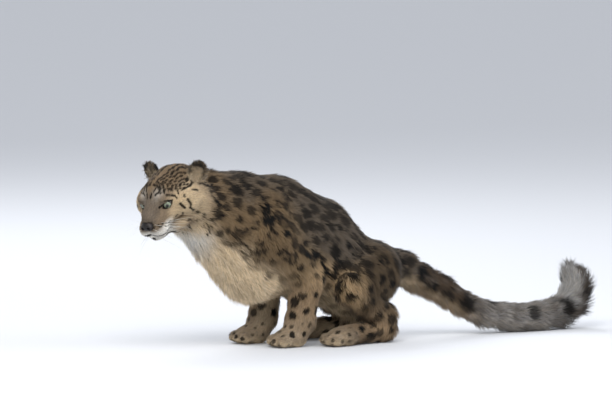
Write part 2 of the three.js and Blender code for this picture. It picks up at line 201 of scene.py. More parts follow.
def ellipsoid(p: Array, size: Array) -> Array:
    """Distance to an ellipsoid at the origin.

    Args:
        p: Points.
        size: Its three half sizes.

    Returns:
        Distances, negative inside.
    """
    k0 = np.linalg.norm(p / size, axis=1)
    k1 = np.maximum(np.linalg.norm(p / (size * size), axis=1), 1e-9)
    return k0 * (k0 - 1) / k1


@dataclass(frozen=True)
class Ball:
    """An ellipsoid of flesh.

    Attributes:
        at: Its middle.
        size: Half sizes along, across and up.
        coat: The coat that grows on it.
        lie: Which way that coat lies.
        slope: Degrees that its front is raised.
    """

    at: Vec
    size: Vec
    coat: Coat
    lie: Vec
    slope: float = 0.0

    def distance(self, p: Array) -> Array:
        """Distance to the ball.

        Args:
            p: Points.

        Returns:
            Distances, negative inside.
        """
        d = p - np.array(self.at)
        c, s = math.cos(math.radians(self.slope)), math.sin(math.radians(self.slope))
        turned = np.column_stack([d[:, 0] * c + d[:, 2] * s, d[:, 1], d[:, 2] * c - d[:, 0] * s])
        return ellipsoid(turned, np.array(self.size))


@dataclass(frozen=True)
class Roll:
    """A tapering roll of flesh between two joints.

    Attributes:
        start: Its first end.
        end: Its second end.
        radii: Radius at each end.
        coat: The coat that grows on it.
        combed: The lie of the coat, where it doesn't run from end to end.
    """

    start: Vec
    end: Vec
    radii: tuple[float, float]
    coat: Coat
    combed: Vec | None = None

    @property
    def lie(self) -> Vec:
        """The way that the coat runs: as it is combed, or else from the first end to the second."""
        return self.combed or tuple(unit(np.subtract(self.end, self.start)))

    def distance(self, p: Array) -> Array:
        """Distance to the roll.

        Args:
            p: Points.

        Returns:
            Distances, negative inside.
        """
        a, along = np.array(self.start), np.subtract(self.end, self.start)
        t = np.clip((p - a) @ along / (along @ along), 0, 1)
        gap = np.linalg.norm(p - a - t[:, None] * along, axis=1)
        return gap - (self.radii[0] + (self.radii[1] - self.radii[0]) * t)


@dataclass(frozen=True)
class Turned:
    """A ball turned to face a way, in the frame of the head."""

    at: Vec
    size: Vec
    front: Vec
    long: Vec

    def distance(self, p: Array) -> Array:
        """Distance to the turned ball.

        Args:
            p: Points.

        Returns:
            Distances, negative inside.
        """
        x = unit(np.array(self.front))
        z = unit(np.cross(self.long, x))
        axes = np.stack([x, np.cross(z, x), z])
        return ellipsoid((p - np.array(self.at)) @ axes.T, np.array(self.size))


@dataclass(frozen=True)
class Trunk:
    """The trunk, the brisket and the root of the tail."""

    blend: float = 42.0
    balls: tuple[Ball, ...] = (
        Ball((-268, -8, 414), (104, 96, 110), Coat.BACK, (0.9, 0.0, -0.44), -4),
        Ball((-170, 0, 374), (125, 112, 142), Coat.BACK, (0.93, 0.0, -0.36), 0),
        Ball((-56, 0, 328), (168, 124, 172), Coat.BACK, (0.9, 0.0, -0.44), -14),
        Ball((70, 0, 274), (168, 126, 164), Coat.HAUNCH, (0.85, 0.0, -0.52), -27),
        Ball((190, 0, 205), (140, 122, 128), Coat.HAUNCH, (0.75, 0.0, -0.66), -35),
        Ball((262, 0, 178), (88, 105, 100), Coat.HAUNCH, (0.75, 0.0, -0.66), -25),
    )
    rolls: tuple[Roll, ...] = (
        Roll((-345, -14, 418), (-128, 0, 238), (74, 112), Coat.CHEST),
        Roll((285, 0, 215), (385, 0, 208), (74, 54), Coat.HAUNCH),
    )


@dataclass(frozen=True)
class Leg:
    """One leg as a chain of joints with a paw at its end.

    Attributes:
        side: Left or right.
        joints: Each joint's place, with Y outwards, and its radius.
        paw_at: Middle of the paw, with Y outwards.
        coats: The coat on each length from joint to joint.
        lies: The lie of the coat on each length, or None where it runs down the length.
    """

    side: Side
    joints: tuple[tuple[float, float, float, float], ...]
    paw_at: Vec
    coats: tuple[Coat, ...]
    lies: tuple[Vec | None, ...]
    paw_size: Vec = (50, 44, 29)
    toe_size: Vec = (25, 14, 19)
    toes: int = 4
    toe_spread: float = 22.0
    toe_reach: float = 42.0

    def outward(self, at: Vec) -> Vec:
        """Put a point with Y outwards on this leg's side."""
        return (at[0], at[1] * self.side.value, at[2])

    def rolls(self) -> list[Roll]:
        """The lengths of the leg, from the top down."""
        pairs = zip(self.joints[:-1], self.joints[1:], self.coats, self.lies)
        return [Roll(self.outward(a[:3]), self.outward(b[:3]), (a[3], b[3]), coat, lie) for a, b, coat, lie in pairs]

    def paw(self) -> Ball:
        """The pad and back of the paw."""
        return Ball(self.outward(self.paw_at), self.paw_size, Coat.PAW, (-0.93, 0.0, -0.36))

    def toe_balls(self) -> list[Ball]:
        """The toes, in an arc ahead of the paw."""
        x, y, z = self.outward(self.paw_at)
        made = []
        for i in range(self.toes):
            across = i - (self.toes - 1) / 2
            at = (x - self.toe_reach + across * across * 4, y + across * self.toe_spread, z - 7)
            made.append(Ball(at, self.toe_size, Coat.PAW, (-0.9, 0.0, -0.44)))
        return made


@dataclass(frozen=True)
class Tail:
    """The tail: its middle line and outline, from root to tip, in x, y, z and radius."""

    points: tuple[tuple[float, float, float, float], ...] = (
        (350, 0, 214, 54),
        (438, 0, 175, 52),
        (512, 0, 138, 47),
        (580, -2, 96, 44),
        (652, -6, 60, 44),
        (745, -10, 45, 47),
        (845, -8, 43, 49),
        (922, -2, 52, 53),
        (970, 4, 84, 56),
        (984, 8, 126, 54),
        (966, 10, 160, 38),
    )
    tip_from: int = 6

    def rolls(self) -> list[Roll]:
        """The lengths of the tail, from root to tip."""
        made = []
        for i, (a, b) in enumerate(zip(self.points[:-1], self.points[1:])):
            coat = Coat.TAIL if i < self.tip_from else Coat.TAIL_TIP
            made.append(Roll(a[:3], b[:3], (a[3], b[3]), coat))
        return made


@dataclass(frozen=True)
class Head:
    """The head, with its shapes in its own frame: forward, sideways and up from the middle of the skull."""

    at: Vec = (-403, -28, 446)
    yaw: float = 25.0
    pitch: float = 30.0
    roll: float = 5.0
    scale: float = 1.1
    blend: float = 14.0
    eye_at: Vec = (58, 37, 21)
    eye_radius: float = 14.0
    lid_depth: float = 2.6
    eye_axis: Vec = (0.8, 0.56, 0.12)
    eye_slant: Vec = (-0.5, 0.76, 0.36)
    lid_opening: tuple[float, float] = (14.5, 5.6)
    ear_at: Vec = (-50, 76, 44)
    ear_axis: Vec = (0.82, 0.42, 0.12)
    ear_lean: Vec = (-0.15, 0.55, 0.82)
    ear_size: Vec = (18, 30, 22)
    ear_wall: float = 0.2
    nose_at: Vec = (124, 0, -6)
    nose_size: Vec = (13, 18, 12)
    nostril_at: Vec = (135, 9, -8)
    nostril_size: Vec = (7, 4.5, 4)
    mouth_from: tuple[float, float] = (56, 0)
    mouth_heights: Vec = (-33, -42, -46)
    mouth_angle: float = 64.0
    mouth_radius: float = 2.0
    shapes: tuple[Ball, ...] = (
        Ball((-22, 0, 15), (80, 75, 59), Coat.CROWN, (-1, 0, 0.1)),
        Ball((28, 0, 32), (54, 54, 44), Coat.CROWN, (-0.9, 0, 0.3)),
        Ball((8, 56, 2), (54, 36, 42), Coat.FACE, (-0.9, 0.3, -0.2)),
        Ball((-28, 58, -26), (50, 38, 50), Coat.CHEEK, (-0.8, 0.2, -0.55)),
        Ball((86, 0, -16), (44, 37, 34), Coat.FACE, (-0.9, 0, 0.1)),
        Ball((101, 20, -25), (31, 23, 23), Coat.MUZZLE, (-0.8, 0.4, -0.4)),
        Ball((84, 0, -48), (38, 27, 18), Coat.FACE, (-0.85, 0, -0.5)),
        Ball((36, 30, -46), (56, 28, 26), Coat.CHEEK, (-0.85, 0.1, -0.5)),
        Ball((56, 34, 38), (22, 20, 12), Coat.FACE, (-0.7, 0.2, 0.6)),
        Ball((57, 32, -6), (34, 24, 25), Coat.FACE, (-0.85, 0.35, -0.2)),
    )
    bridge: Roll = Roll((112, 0, 10), (48, 0, 36), (17, 26), Coat.MUZZLE)

    def axes(self) -> Array:
        """The head's own directions as rows: forward, sideways and up."""
        yaw, pitch, roll = (math.radians(v) for v in (self.yaw, self.pitch, self.roll))
        forward = np.array(
            [-math.cos(yaw) * math.cos(pitch), -math.sin(yaw) * math.cos(pitch), -math.sin(pitch)]
        )
        level = np.array([math.sin(yaw), -math.cos(yaw), 0.0])
        side = level * math.cos(roll) + np.cross(forward, level) * math.sin(roll)
        return np.stack([forward, side, np.cross(forward, side)])

    def inward(self, p: Array) -> Array:
        """Bring points into the head's frame.

        Args:
            p: Points in the animal's frame.

        Returns:
            The same points in the head's frame.
        """
        return (p - np.array(self.at)) @ self.axes().T / self.scale

    def outward(self, p: Array) -> Array:
        """Take points out of the head's frame.

        Args:
            p: Points in the head's frame.

        Returns:
            The same points in the animal's frame.
        """
        return np.asarray(p, float) @ self.axes() * self.scale + np.array(self.at)

    def flesh(self, q: Array) -> Array:
        """Distance to the head's outline, in its own frame.

        Args:
            q: Points in the head's frame.

        Returns:
            Distances in the head's units.
        """
        folded = np.column_stack([q[:, 0], np.abs(q[:, 1]), q[:, 2]])
        d = self.bridge.distance(q)
        for shape in self.shapes:
            d = smooth_union(d, shape.distance(folded), self.blend)
        return d


@dataclass(frozen=True)
class Survey:
    """What the anatomy says about a set of points.

    Attributes:
        distance: Distance to the outline of the coat.
        depth: Depth of the coat there.
        lie: Direction that the coat lies in.
        length: Length of the tufts there.
        width: Width of the tufts there.
        lift: Angle of the tufts there, in degrees.
        spacing: Distance from tuft to tuft.
        shares: Share of each group of shapes: trunk, chest, legs, paws, tail, tail tip and head.
    """

    distance: Array
    depth: Array
    lie: Array
    length: Array
    width: Array
    lift: Array
    spacing: Array
    shares: Array


GROUPS = ("trunk", "chest", "fore", "hind", "paw", "tail", "tip", "head", "muzzle")


@dataclass(frozen=True)
class Anatomy:
    """The whole animal as distance fields."""

    trunk: Trunk = Trunk()
    head: Head = Head()
    tail: Tail = Tail()
    legs: tuple[Leg, ...] = (
        Leg(
            Side.LEFT,
            ((-118, 66, 395, 74), (-105, 78, 320, 84), (12, 85, 190, 54), (0, 77, 74, 43), (-22, 78, 34, 38)),
            (-36, 78, 27),
            (Coat.BACK, Coat.BACK, Coat.LEG, Coat.PAW),
            ((0.6, 0.0, -0.8), (0.5, 0.0, -0.87), None, None),
        ),
        Leg(
            Side.RIGHT,
            ((-128, 66, 395, 74), (-118, 78, 320, 84), (-16, 85, 188, 53), (-36, 77, 74, 41), (-58, 78, 34, 37)),
            (-72, 80, 27),
            (Coat.BACK, Coat.BACK, Coat.LEG, Coat.PAW),
            ((0.6, 0.0, -0.8), (0.5, 0.0, -0.87), None, None),
        ),
        Leg(
            Side.LEFT,
            ((238, 62, 205, 96), (146, 116, 168, 56), (266, 84, 74, 49), (276, 88, 38, 36), (138, 120, 30, 32)),
            (112, 127, 27),
            (Coat.HAUNCH, Coat.HAUNCH, Coat.LEG, Coat.LEG),
            ((0.45, -0.35, -0.82), (0.2, -0.6, -0.77), (0.3, 0.0, -0.95), None),
        ),
        Leg(
            Side.RIGHT,
            ((238, 62, 205, 96), (150, 116, 166, 56), (270, 84, 74, 49), (280, 88, 38, 36), (150, 120, 30, 32)),
            (124, 124, 27),
            (Coat.HAUNCH, Coat.HAUNCH, Coat.LEG, Coat.LEG),
            ((0.45, 0.35, -0.82), (0.2, 0.6, -0.77), (0.3, 0.0, -0.95), None),
        ),
    )
    limb_blend: float = 25.0
    neck_blend: float = 26.0
    share_width: float = 12.0

    def parts(self) -> list[tuple[str, Coat, Array, Callable[[Array, Array], Array]]]:
        """Every shape with its group, its coat, the lie of its coat and its distance in mm.

        Returns:
            One entry for each shape; the distance takes points in the animal's and the head's frame.
        """
        made = []
        for ball in self.trunk.balls:
            made.append(("trunk", ball.coat, np.array(ball.lie), lambda p, q, s=ball: s.distance(p)))
        for roll, group in zip(self.trunk.rolls, ("chest", "trunk")):
            made.append((group, roll.coat, np.array(roll.lie), lambda p, q, s=roll: s.distance(p)))
        for number, leg in enumerate(self.legs):
            group = "fore" if number < 2 else "hind"
            for roll in leg.rolls():
                name = "paw" if roll.coat is Coat.PAW else group
                made.append((name, roll.coat, np.array(roll.lie), lambda p, q, s=roll: s.distance(p)))
            for ball in [leg.paw(), *leg.toe_balls()]:
                made.append(("paw", Coat.PAW, np.array(ball.lie), lambda p, q, s=ball: s.distance(p)))
        for roll in self.tail.rolls():
            name = "tail" if roll.coat is Coat.TAIL else "tip"
            made.append((name, roll.coat, np.array(roll.lie), lambda p, q, s=roll: s.distance(p)))
        head, scale = self.head, self.head.scale
        axes = head.axes()

        def folded(q: Array) -> Array:
            return np.column_stack([q[:, 0], np.abs(q[:, 1]), q[:, 2]])

        for ball in head.shapes:
            name = "muzzle" if ball.coat is Coat.MUZZLE else "head"
            lie = np.array(ball.lie) @ axes
            made.append((name, ball.coat, lie, lambda p, q, s=ball: s.distance(folded(q)) * scale))
        lie = np.array(head.bridge.lie) @ axes
        made.append(("muzzle", Coat.MUZZLE, lie, lambda p, q: head.bridge.distance(q) * scale))
        return made

    def outline(self, p: Array) -> Array:
        """Distance to the outline out to the tips of the coat.

        Args:
            p: Points in the animal's frame.

        Returns:
            Distances in mm, negative inside.
        """
        d = np.full(len(p), 1e9)
        for shape in (*self.trunk.balls, *self.trunk.rolls):
            d = smooth_union(d, shape.distance(p), self.trunk.blend)
        for leg in self.legs:
            limb = np.full(len(p), 1e9)
            for roll in leg.rolls():
                limb = smooth_union(limb, roll.distance(p), 20)
            limb = smooth_union(limb, leg.paw().distance(p), 16)
            for toe in leg.toe_balls():
                limb = smooth_union(limb, toe.distance(p), 6)
            d = smooth_union(d, limb, self.limb_blend)
        tail = np.full(len(p), 1e9)
        for roll in self.tail.rolls():
            tail = smooth_union(tail, roll.distance(p), 8)
        d = smooth_union(d, tail, 14)
        return smooth_union(d, self.head.flesh(self.head.inward(p)) * self.head.scale, self.neck_blend)

    def survey(self, p: Array, chunk: int = 60000) -> Survey:
        """Look up everything about points.

        Args:
            p: Points in the animal's frame.
            chunk: How many are worked out at a time.

        Returns:
            The survey, one row for each point.
        """
        parts = self.parts()
        numbers = np.array([[c.depth, c.length, c.width, c.lift, c.spacing] for _, c, _, _ in parts])
        lies = np.stack([lie for _, _, lie, _ in parts])
        member = np.array([[name == group for group in GROUPS] for name, _, _, _ in parts], float)
        rows = []
        for start in range(0, len(p), chunk):
            piece = p[start : start + chunk]
            q = self.head.inward(piece)
            gaps = np.stack([gap(piece, q) for _, _, _, gap in parts], axis=1)
            share = np.exp(-(gaps - gaps.min(axis=1, keepdims=True)) / self.share_width)
            share /= share.sum(axis=1, keepdims=True)
            rows.append((self.outline(piece), share @ numbers, unit(share @ lies), share @ member))
        distance, sizes, lie, shares = (np.concatenate(column) for column in zip(*rows))
        return Survey(distance, sizes[:, 0], lie, sizes[:, 1], sizes[:, 2], sizes[:, 3], sizes[:, 4], shares)

    def ears(self, q: Array) -> Array:
        """Distance to the two ear cups.

        Args:
            q: Points in the head's frame, with the sideways part folded to one side.

        Returns:
            Distances in the head's units.
        """
        h = self.head
        shift = np.array(h.ear_axis) * h.ear_size[0] * 0.5
        outer = Turned(h.ear_at, self.ear_sizes(1.0), h.ear_axis, h.ear_lean)
        inner = Turned(tuple(np.array(h.ear_at) + shift), self.ear_sizes(1 - h.ear_wall), h.ear_axis, h.ear_lean)
        return np.maximum(outer.distance(q), -inner.distance(q))

    def ear_sizes(self, share: float) -> Vec:
        """The half sizes of an ear's ball, scaled."""
        return tuple(v * share for v in self.head.ear_size)

    def mouth_line(self) -> Array:
        """The line of the mouth on the skin, from corner to corner, in the head's frame."""
        h = self.head
        degrees = np.linspace(-h.mouth_angle, h.mouth_angle, 25)
        share = np.abs(degrees) / h.mouth_angle
        up = np.interp(share, [0, 0.4, 1], h.mouth_heights)
        way = np.column_stack([np.cos(np.radians(degrees)), np.sin(np.radians(degrees)), np.zeros(len(degrees))])
        start = np.column_stack([np.full(len(degrees), h.mouth_from[0]), np.zeros(len(degrees)), up])
        near, far = np.zeros(len(degrees)), np.full(len(degrees), 150.0)
        for _ in range(24):
            middle = (near + far) / 2
            inside = h.flesh(start + way * middle[:, None]) < 0
            near, far = np.where(inside, middle, near), np.where(inside, far, middle)
        return start + way * (near - Coat.MUZZLE.depth)[:, None]

    def skin(self, p: Array) -> Array:
        """Distance to the skin under the coat, with ears, lids, lips and sockets.

        Args:
            p: Points in the animal's frame.

        Returns:
            Distances in mm, negative inside.
        """
        h = self.head
        found = self.survey(p)
        d = found.distance + found.depth
        near = np.linalg.norm(p - np.array(h.at), axis=1) < 230
        if not near.any():
            return d
        q = h.inward(p[near])
        folded = np.column_stack([q[:, 0], np.abs(q[:, 1]), q[:, 2]])
        part = smooth_union(d[near], (self.ears(folded) + 0.4) * h.scale, 7)
        from_eye = np.linalg.norm(folded - np.array(h.eye_at), axis=1)
        part = smooth_union(part, (from_eye - h.eye_radius - h.lid_depth) * h.scale, 6)
        part = np.maximum(part, -(from_eye - h.eye_radius - 0.3) * h.scale)
        part = np.maximum(part, -self.slit(folded) * h.scale)
        groove = np.full(len(q), 1e9)
        line = self.mouth_line()
        for a, b in zip(line[:-1], line[1:]):
            groove = np.minimum(groove, Roll(tuple(a), tuple(b), (h.mouth_radius,) * 2, Coat.MUZZLE).distance(q))
        front = line[len(line) // 2]
        philtrum = Roll(tuple(front), (h.nose_at[0] + 7, 0.0, h.nose_at[2] - 9), (1.2, 1.2), Coat.MUZZLE)
        groove = np.minimum(groove, philtrum.distance(q))
        part = -smooth_union(-part, groove * h.scale, 1.5)
        d[near] = part
        return d

    def slit(self, q: Array) -> Array:
        """Distance to the almond that the lids leave open.

        Args:
            q: Points in the head's frame, with the sideways part folded to one side.

        Returns:
            Distances in the head's units.
        """
        h = self.head
        axis = unit(np.array(h.eye_axis))
        slant = np.array(h.eye_slant) - axis * (np.array(h.eye_slant) @ axis)
        slant = unit(slant)
        upright = np.cross(axis, slant)
        off = q - np.array(h.eye_at)
        half, tall = h.lid_opening
        radius = (half**2 + tall**2) / (2 * tall)
        along, high = off @ slant, off @ upright
        arcs = [np.hypot(along, high + way * (radius - tall)) - radius for way in (1, -1)]
        return np.maximum(np.maximum(*arcs), 2 - off @ axis)

    def nose(self, p: Array) -> Array:
        """Distance to the bare pad of the nose, with its nostrils and the groove between them.

        Args:
            p: Points in the animal's frame.

        Returns:
            Distances in mm, negative inside.
        """
        h = self.head
        q = h.inward(p)
        folded = np.column_stack([q[:, 0], np.abs(q[:, 1]), q[:, 2]])
        pad = ellipsoid(folded - np.array(h.nose_at), np.array(h.nose_size))
        wing = ellipsoid(folded - (np.array(h.nose_at) + (5, 12, -3)), np.array([7.5, 6.5, 7.0]))
        pad = smooth_union(pad, wing, 4)
        nostril = ellipsoid(folded - np.array(h.nostril_at), np.array(h.nostril_size))
        crease = Roll((138, 0, -16), (134, 0, 2), (0.9, 0.5), Coat.MUZZLE).distance(folded)
        return -smooth_union(-pad, np.minimum(nostril, crease), 1.5) * h.scale


def gradient(distance: Callable[[Array], Array], p: Array, step: float = 0.6) -> tuple[Array, Array]:
    """Value and slope of a field.

    Args:
        distance: The field.
        p: Points.
        step: Half the width of the difference.

    Returns:
        The values and the slopes at the points.
    """
    slopes = []
    for axis in np.eye(3) * step:
        slopes.append((distance(p + axis) - distance(p - axis)) / (2 * step))
    return distance(p), np.stack(slopes, axis=1)


def settle(distance: Callable[[Array], Array], p: Array, rounds: int = 2) -> Array:
    """Move points onto the surface of a field.

    Args:
        distance: The field.
        p: Points near the surface.
        rounds: How many steps are taken.

    Returns:
        The points on the surface.
    """
    for _ in range(rounds):
        d, slope = gradient(distance, p)
        p = p - slope * (d / np.maximum((slope**2).sum(axis=1), 0.2))[:, None]
    return p


def net(distance: Callable[[Array], Array], low: Vec, high: Vec, cell: float) -> tuple[Array, Array]:
    """Mesh a field over a box.

    Args:
        distance: The field.
        low: Lowest corner of the box.
        high: Highest corner.
        cell: Size of a cell.

    Returns:
        Points and four-sided faces.
    """
    lines = [np.arange(a, b + cell, cell) for a, b in zip(low, high)]
    shape = tuple(len(line) for line in lines)
    values = np.full(shape, cell * 3, np.float32)
    coarse = 4
    rough_lines = [line[::coarse] for line in lines]
    rough_points = np.stack(np.meshgrid(*rough_lines, indexing="ij"), axis=-1).reshape(-1, 3)
    rough = distance(rough_points).reshape(tuple(len(line) for line in rough_lines))
    wide = rough.repeat(coarse, 0).repeat(coarse, 1).repeat(coarse, 2)[: shape[0], : shape[1], : shape[2]]
    near = np.abs(wide) < cell * coarse * 2.2
    grid = np.stack(np.meshgrid(*lines, indexing="ij"), axis=-1)
    values[:] = np.where(wide < 0, -cell * 3, cell * 3)
    values[near] = distance(grid[near])
    volume = openvdb.FloatGrid(background=float(cell * 3))
    volume.copyFromArray(np.clip(values, -cell * 3, cell * 3))
    points, faces = volume.convertToQuads()
    return np.asarray(points, float) * cell + np.array(low), np.asarray(faces)


@dataclass(frozen=True)
class Ray:
    """The camera's own directions, and where a pixel of the 612 by 408 photograph looks.

    Attributes:
        turn: Degrees that the camera stands round from the animal's left side.
        rise: Degrees that it looks down.
        scale: Millimetres of the animal for each pixel.
        centre: The pixel at the origin of the animal's frame.
    """

    turn: float = -30.0
    rise: float = 5.0
    scale: float = 2.9
    centre: tuple[float, float] = (287.07, 344.05)

    def axes(self) -> tuple[Array, Array, Array]:
        """The directions to the right, up and back towards the camera."""
        a, e = math.radians(self.turn), math.radians(self.rise)
        right = np.array([math.cos(a), math.sin(a), 0.0])
        up = np.array([-math.sin(a) * math.sin(e), math.cos(a) * math.sin(e), math.cos(e)])
        return right, up, np.cross(right, up)

    def point(self, x: float, y: float) -> Array:
        """A point that a pixel looks through, in the plane of the origin."""
        right, up, _ = self.axes()
        return right * (x - self.centre[0]) * self.scale + up * (self.centre[1] - y) * self.scale

    def hits(self, pixels: Array, distance: Callable[[Array], Array]) -> Array:
        """Where pixels meet a surface.

        Args:
            pixels: Columns and rows.
            distance: The surface's field.

        Returns:
            Points on the surface, or far away where there is none.
        """
        back = self.axes()[2]
        p = np.stack([self.point(x, y) for x, y in pixels]) + back * 900
        for _ in range(60):
            p = p - back * (np.maximum(distance(p), 0.0) * 0.8)[:, None]
        return p


class Tone(Enum):
    """Display colours of the coat and the markings."""

    BACK = (0.315, 0.28, 0.24)
    SHOULDER = (0.405, 0.334, 0.245)
    FLANK = (0.46, 0.385, 0.285)
    HAUNCH = (0.31, 0.258, 0.195)
    BELLY = (0.72, 0.64, 0.52)
    CHEST = (0.80, 0.715, 0.59)
    LEG = (0.53, 0.445, 0.345)
    PAW = (0.60, 0.53, 0.44)
    GOLD = (0.64, 0.54, 0.41)
    TAIL_TOP = (0.24, 0.195, 0.15)
    TAIL_UNDER = (0.54, 0.465, 0.37)
    TIP = (0.27, 0.24, 0.215)
    FROST = (0.56, 0.55, 0.535)
    FACE = (0.46, 0.40, 0.33)
    CHEEK = (0.73, 0.645, 0.52)
    SNOUT = (0.41, 0.365, 0.315)
    CROWN = (0.46, 0.385, 0.295)
    WHITE = (0.88, 0.865, 0.83)
    DARK = (0.024, 0.019, 0.016)
    SOFT_DARK = (0.085, 0.069, 0.055)
    INSIDE = (0.36, 0.30, 0.235)
    LID = (0.045, 0.038, 0.035)

    @property
    def rgb(self) -> Array:
        """The colour as linear red, green and blue."""
        return linear(self.value)


def blend(a: Array, b: Array, share: Array) -> Array:
    """Mix colours.

    Args:
        a: First colours.
        b: Second colours.
        share: Share of the second, one for each point.

    Returns:
        The mixed colours.
    """
    return a + (b - a) * share[:, None]


@dataclass(frozen=True)
class Patch:
    """How the spots of one region are drawn.

    Attributes:
        spacing: Distance between spots, in mm.
        radius: Mean radius, in mm.
        hollow: How open the middle is, from 0 to 1.
        strength: How dark the spots are, from 0 to 1.
        stretch: Length against width, along the lie of the coat.
    """

    spacing: float
    radius: float
    hollow: float
    strength: float
    stretch: float


PATCHES = {
    "back": Patch(29, 14, 0.3, 0.90, 1.35),
    "shoulder": Patch(28, 14.5, 0.45, 1.0, 1.1),
    "haunch": Patch(30, 15.5, 0.3, 1.0, 1.2),
    "chest": Patch(44, 8, 0.0, 0.35, 1.4),
    "leg": Patch(27, 12, 0.0, 1.0, 1.1),
    "paw": Patch(20, 5.5, 0.0, 0.85, 1.1),
    "tail": Patch(46, 27, 0.1, 1.0, 0.9),
    "tip": Patch(62, 24, 0.0, 0.9, 0.9),
    "neck": Patch(20, 9.5, 0.25, 1.0, 1.25),
    "nape": Patch(16, 6.5, 0.0, 1.0, 1.5),
}

# The spots that stand out on the side towards the camera: column, row, radius in mm and how hollow each is
NAMED_SPOTS = (
    (261.6, 249.4, 19, 0.75),
    (247.5, 259, 11, 0.0),
    (276.8, 273, 12, 0.1),
    (294, 277.6, 13, 0.2),
    (300.6, 268, 11, 0.0),
    (242, 220, 12, 0.2),
    (222.5, 234, 11, 0.0),
    (256, 226, 15, 0.5),
    (274, 235, 15, 0.5),
    (285, 255, 16, 0.6),
    (292, 315, 12, 0.0),
    (293, 335, 10, 0.0),
    (304, 335, 8, 0.0),
    (307, 312, 9, 0.0),
    (301, 296, 12, 0.1),
    (283, 293, 10, 0.0),
    (356, 276, 20, 0.2),
    (337, 289, 18, 0.2),
    (372, 290, 16, 0.0),
    (352, 300, 15, 0.0),
)

# Strokes on the near side of the face, mirrored to the far one: from and to as pixels, and half width in mm
FACE_STROKES = (
    (160.8, 207.3, 165.6, 204.8, 3.0),
    (165.6, 206.6, 171.5, 206.0, 1.6),
    (165.8, 200.6, 172.4, 200.2, 1.5),
    (149.5, 236.6, 155.0, 238.2, 2.8),
    (156.0, 238.6, 164.0, 237.8, 2.8),
    (165.0, 236.6, 170.0, 233.6, 2.4),
    (168.2, 195.2, 175.6, 195.6, 2.6),
    (175.6, 195.6, 178.5, 198.0, 1.8),
    (164.6, 187.0, 165.6, 193.0, 2.2),
    (160.3, 192.5, 156.8, 195.2, 1.9),
    (157.5, 188.0, 155.5, 191.5, 1.7),
    (160.5, 184.5, 162.0, 188.5, 1.8),
    (153.5, 193.5, 152.0, 198.0, 1.7),
    (169.5, 189.5, 173.0, 189.8, 1.7),
    (178.5, 190.0, 179.5, 194.0, 1.9),
    (185.2, 195.0, 185.8, 197.0, 2.2),
    (181.5, 203.6, 185.8, 207.6, 3.2),
    (188.8, 199.5, 191.8, 204.6, 3.4),
    (190.5, 206.8, 194.0, 209.6, 2.8),
    (197.2, 210.0, 199.8, 211.4, 2.6),
    (183.8, 212.3, 182.6, 214.4, 2.4),
    (178.2, 214.6, 176.8, 215.8, 1.9),
    (204.0, 212.0, 204.8, 215.4, 3.0),
    (194.5, 219.5, 199.6, 217.6, 3.6),
    (186.5, 219.6, 189.4, 218.6, 2.4),
    (203.5, 224.6, 207.4, 222.4, 2.9),
    (191.2, 226.4, 194.4, 225.0, 2.5),
    (187.6, 231.0, 190.2, 229.6, 2.2),
    (208.5, 233.0, 210.4, 231.2, 2.6),
    (170.6, 221.6, 171.8, 220.4, 1.5),
    (174.2, 220.0, 175.2, 218.8, 1.4),
    (183.0, 190.5, 187.0, 188.0, 2.3),
    (190.0, 186.0, 193.5, 182.5, 2.4),
    (186.0, 180.5, 189.0, 177.5, 2.2),
    (198.5, 184.6, 205.5, 183.2, 3.0),
    (193.0, 190.0, 197.5, 190.5, 2.2),
)


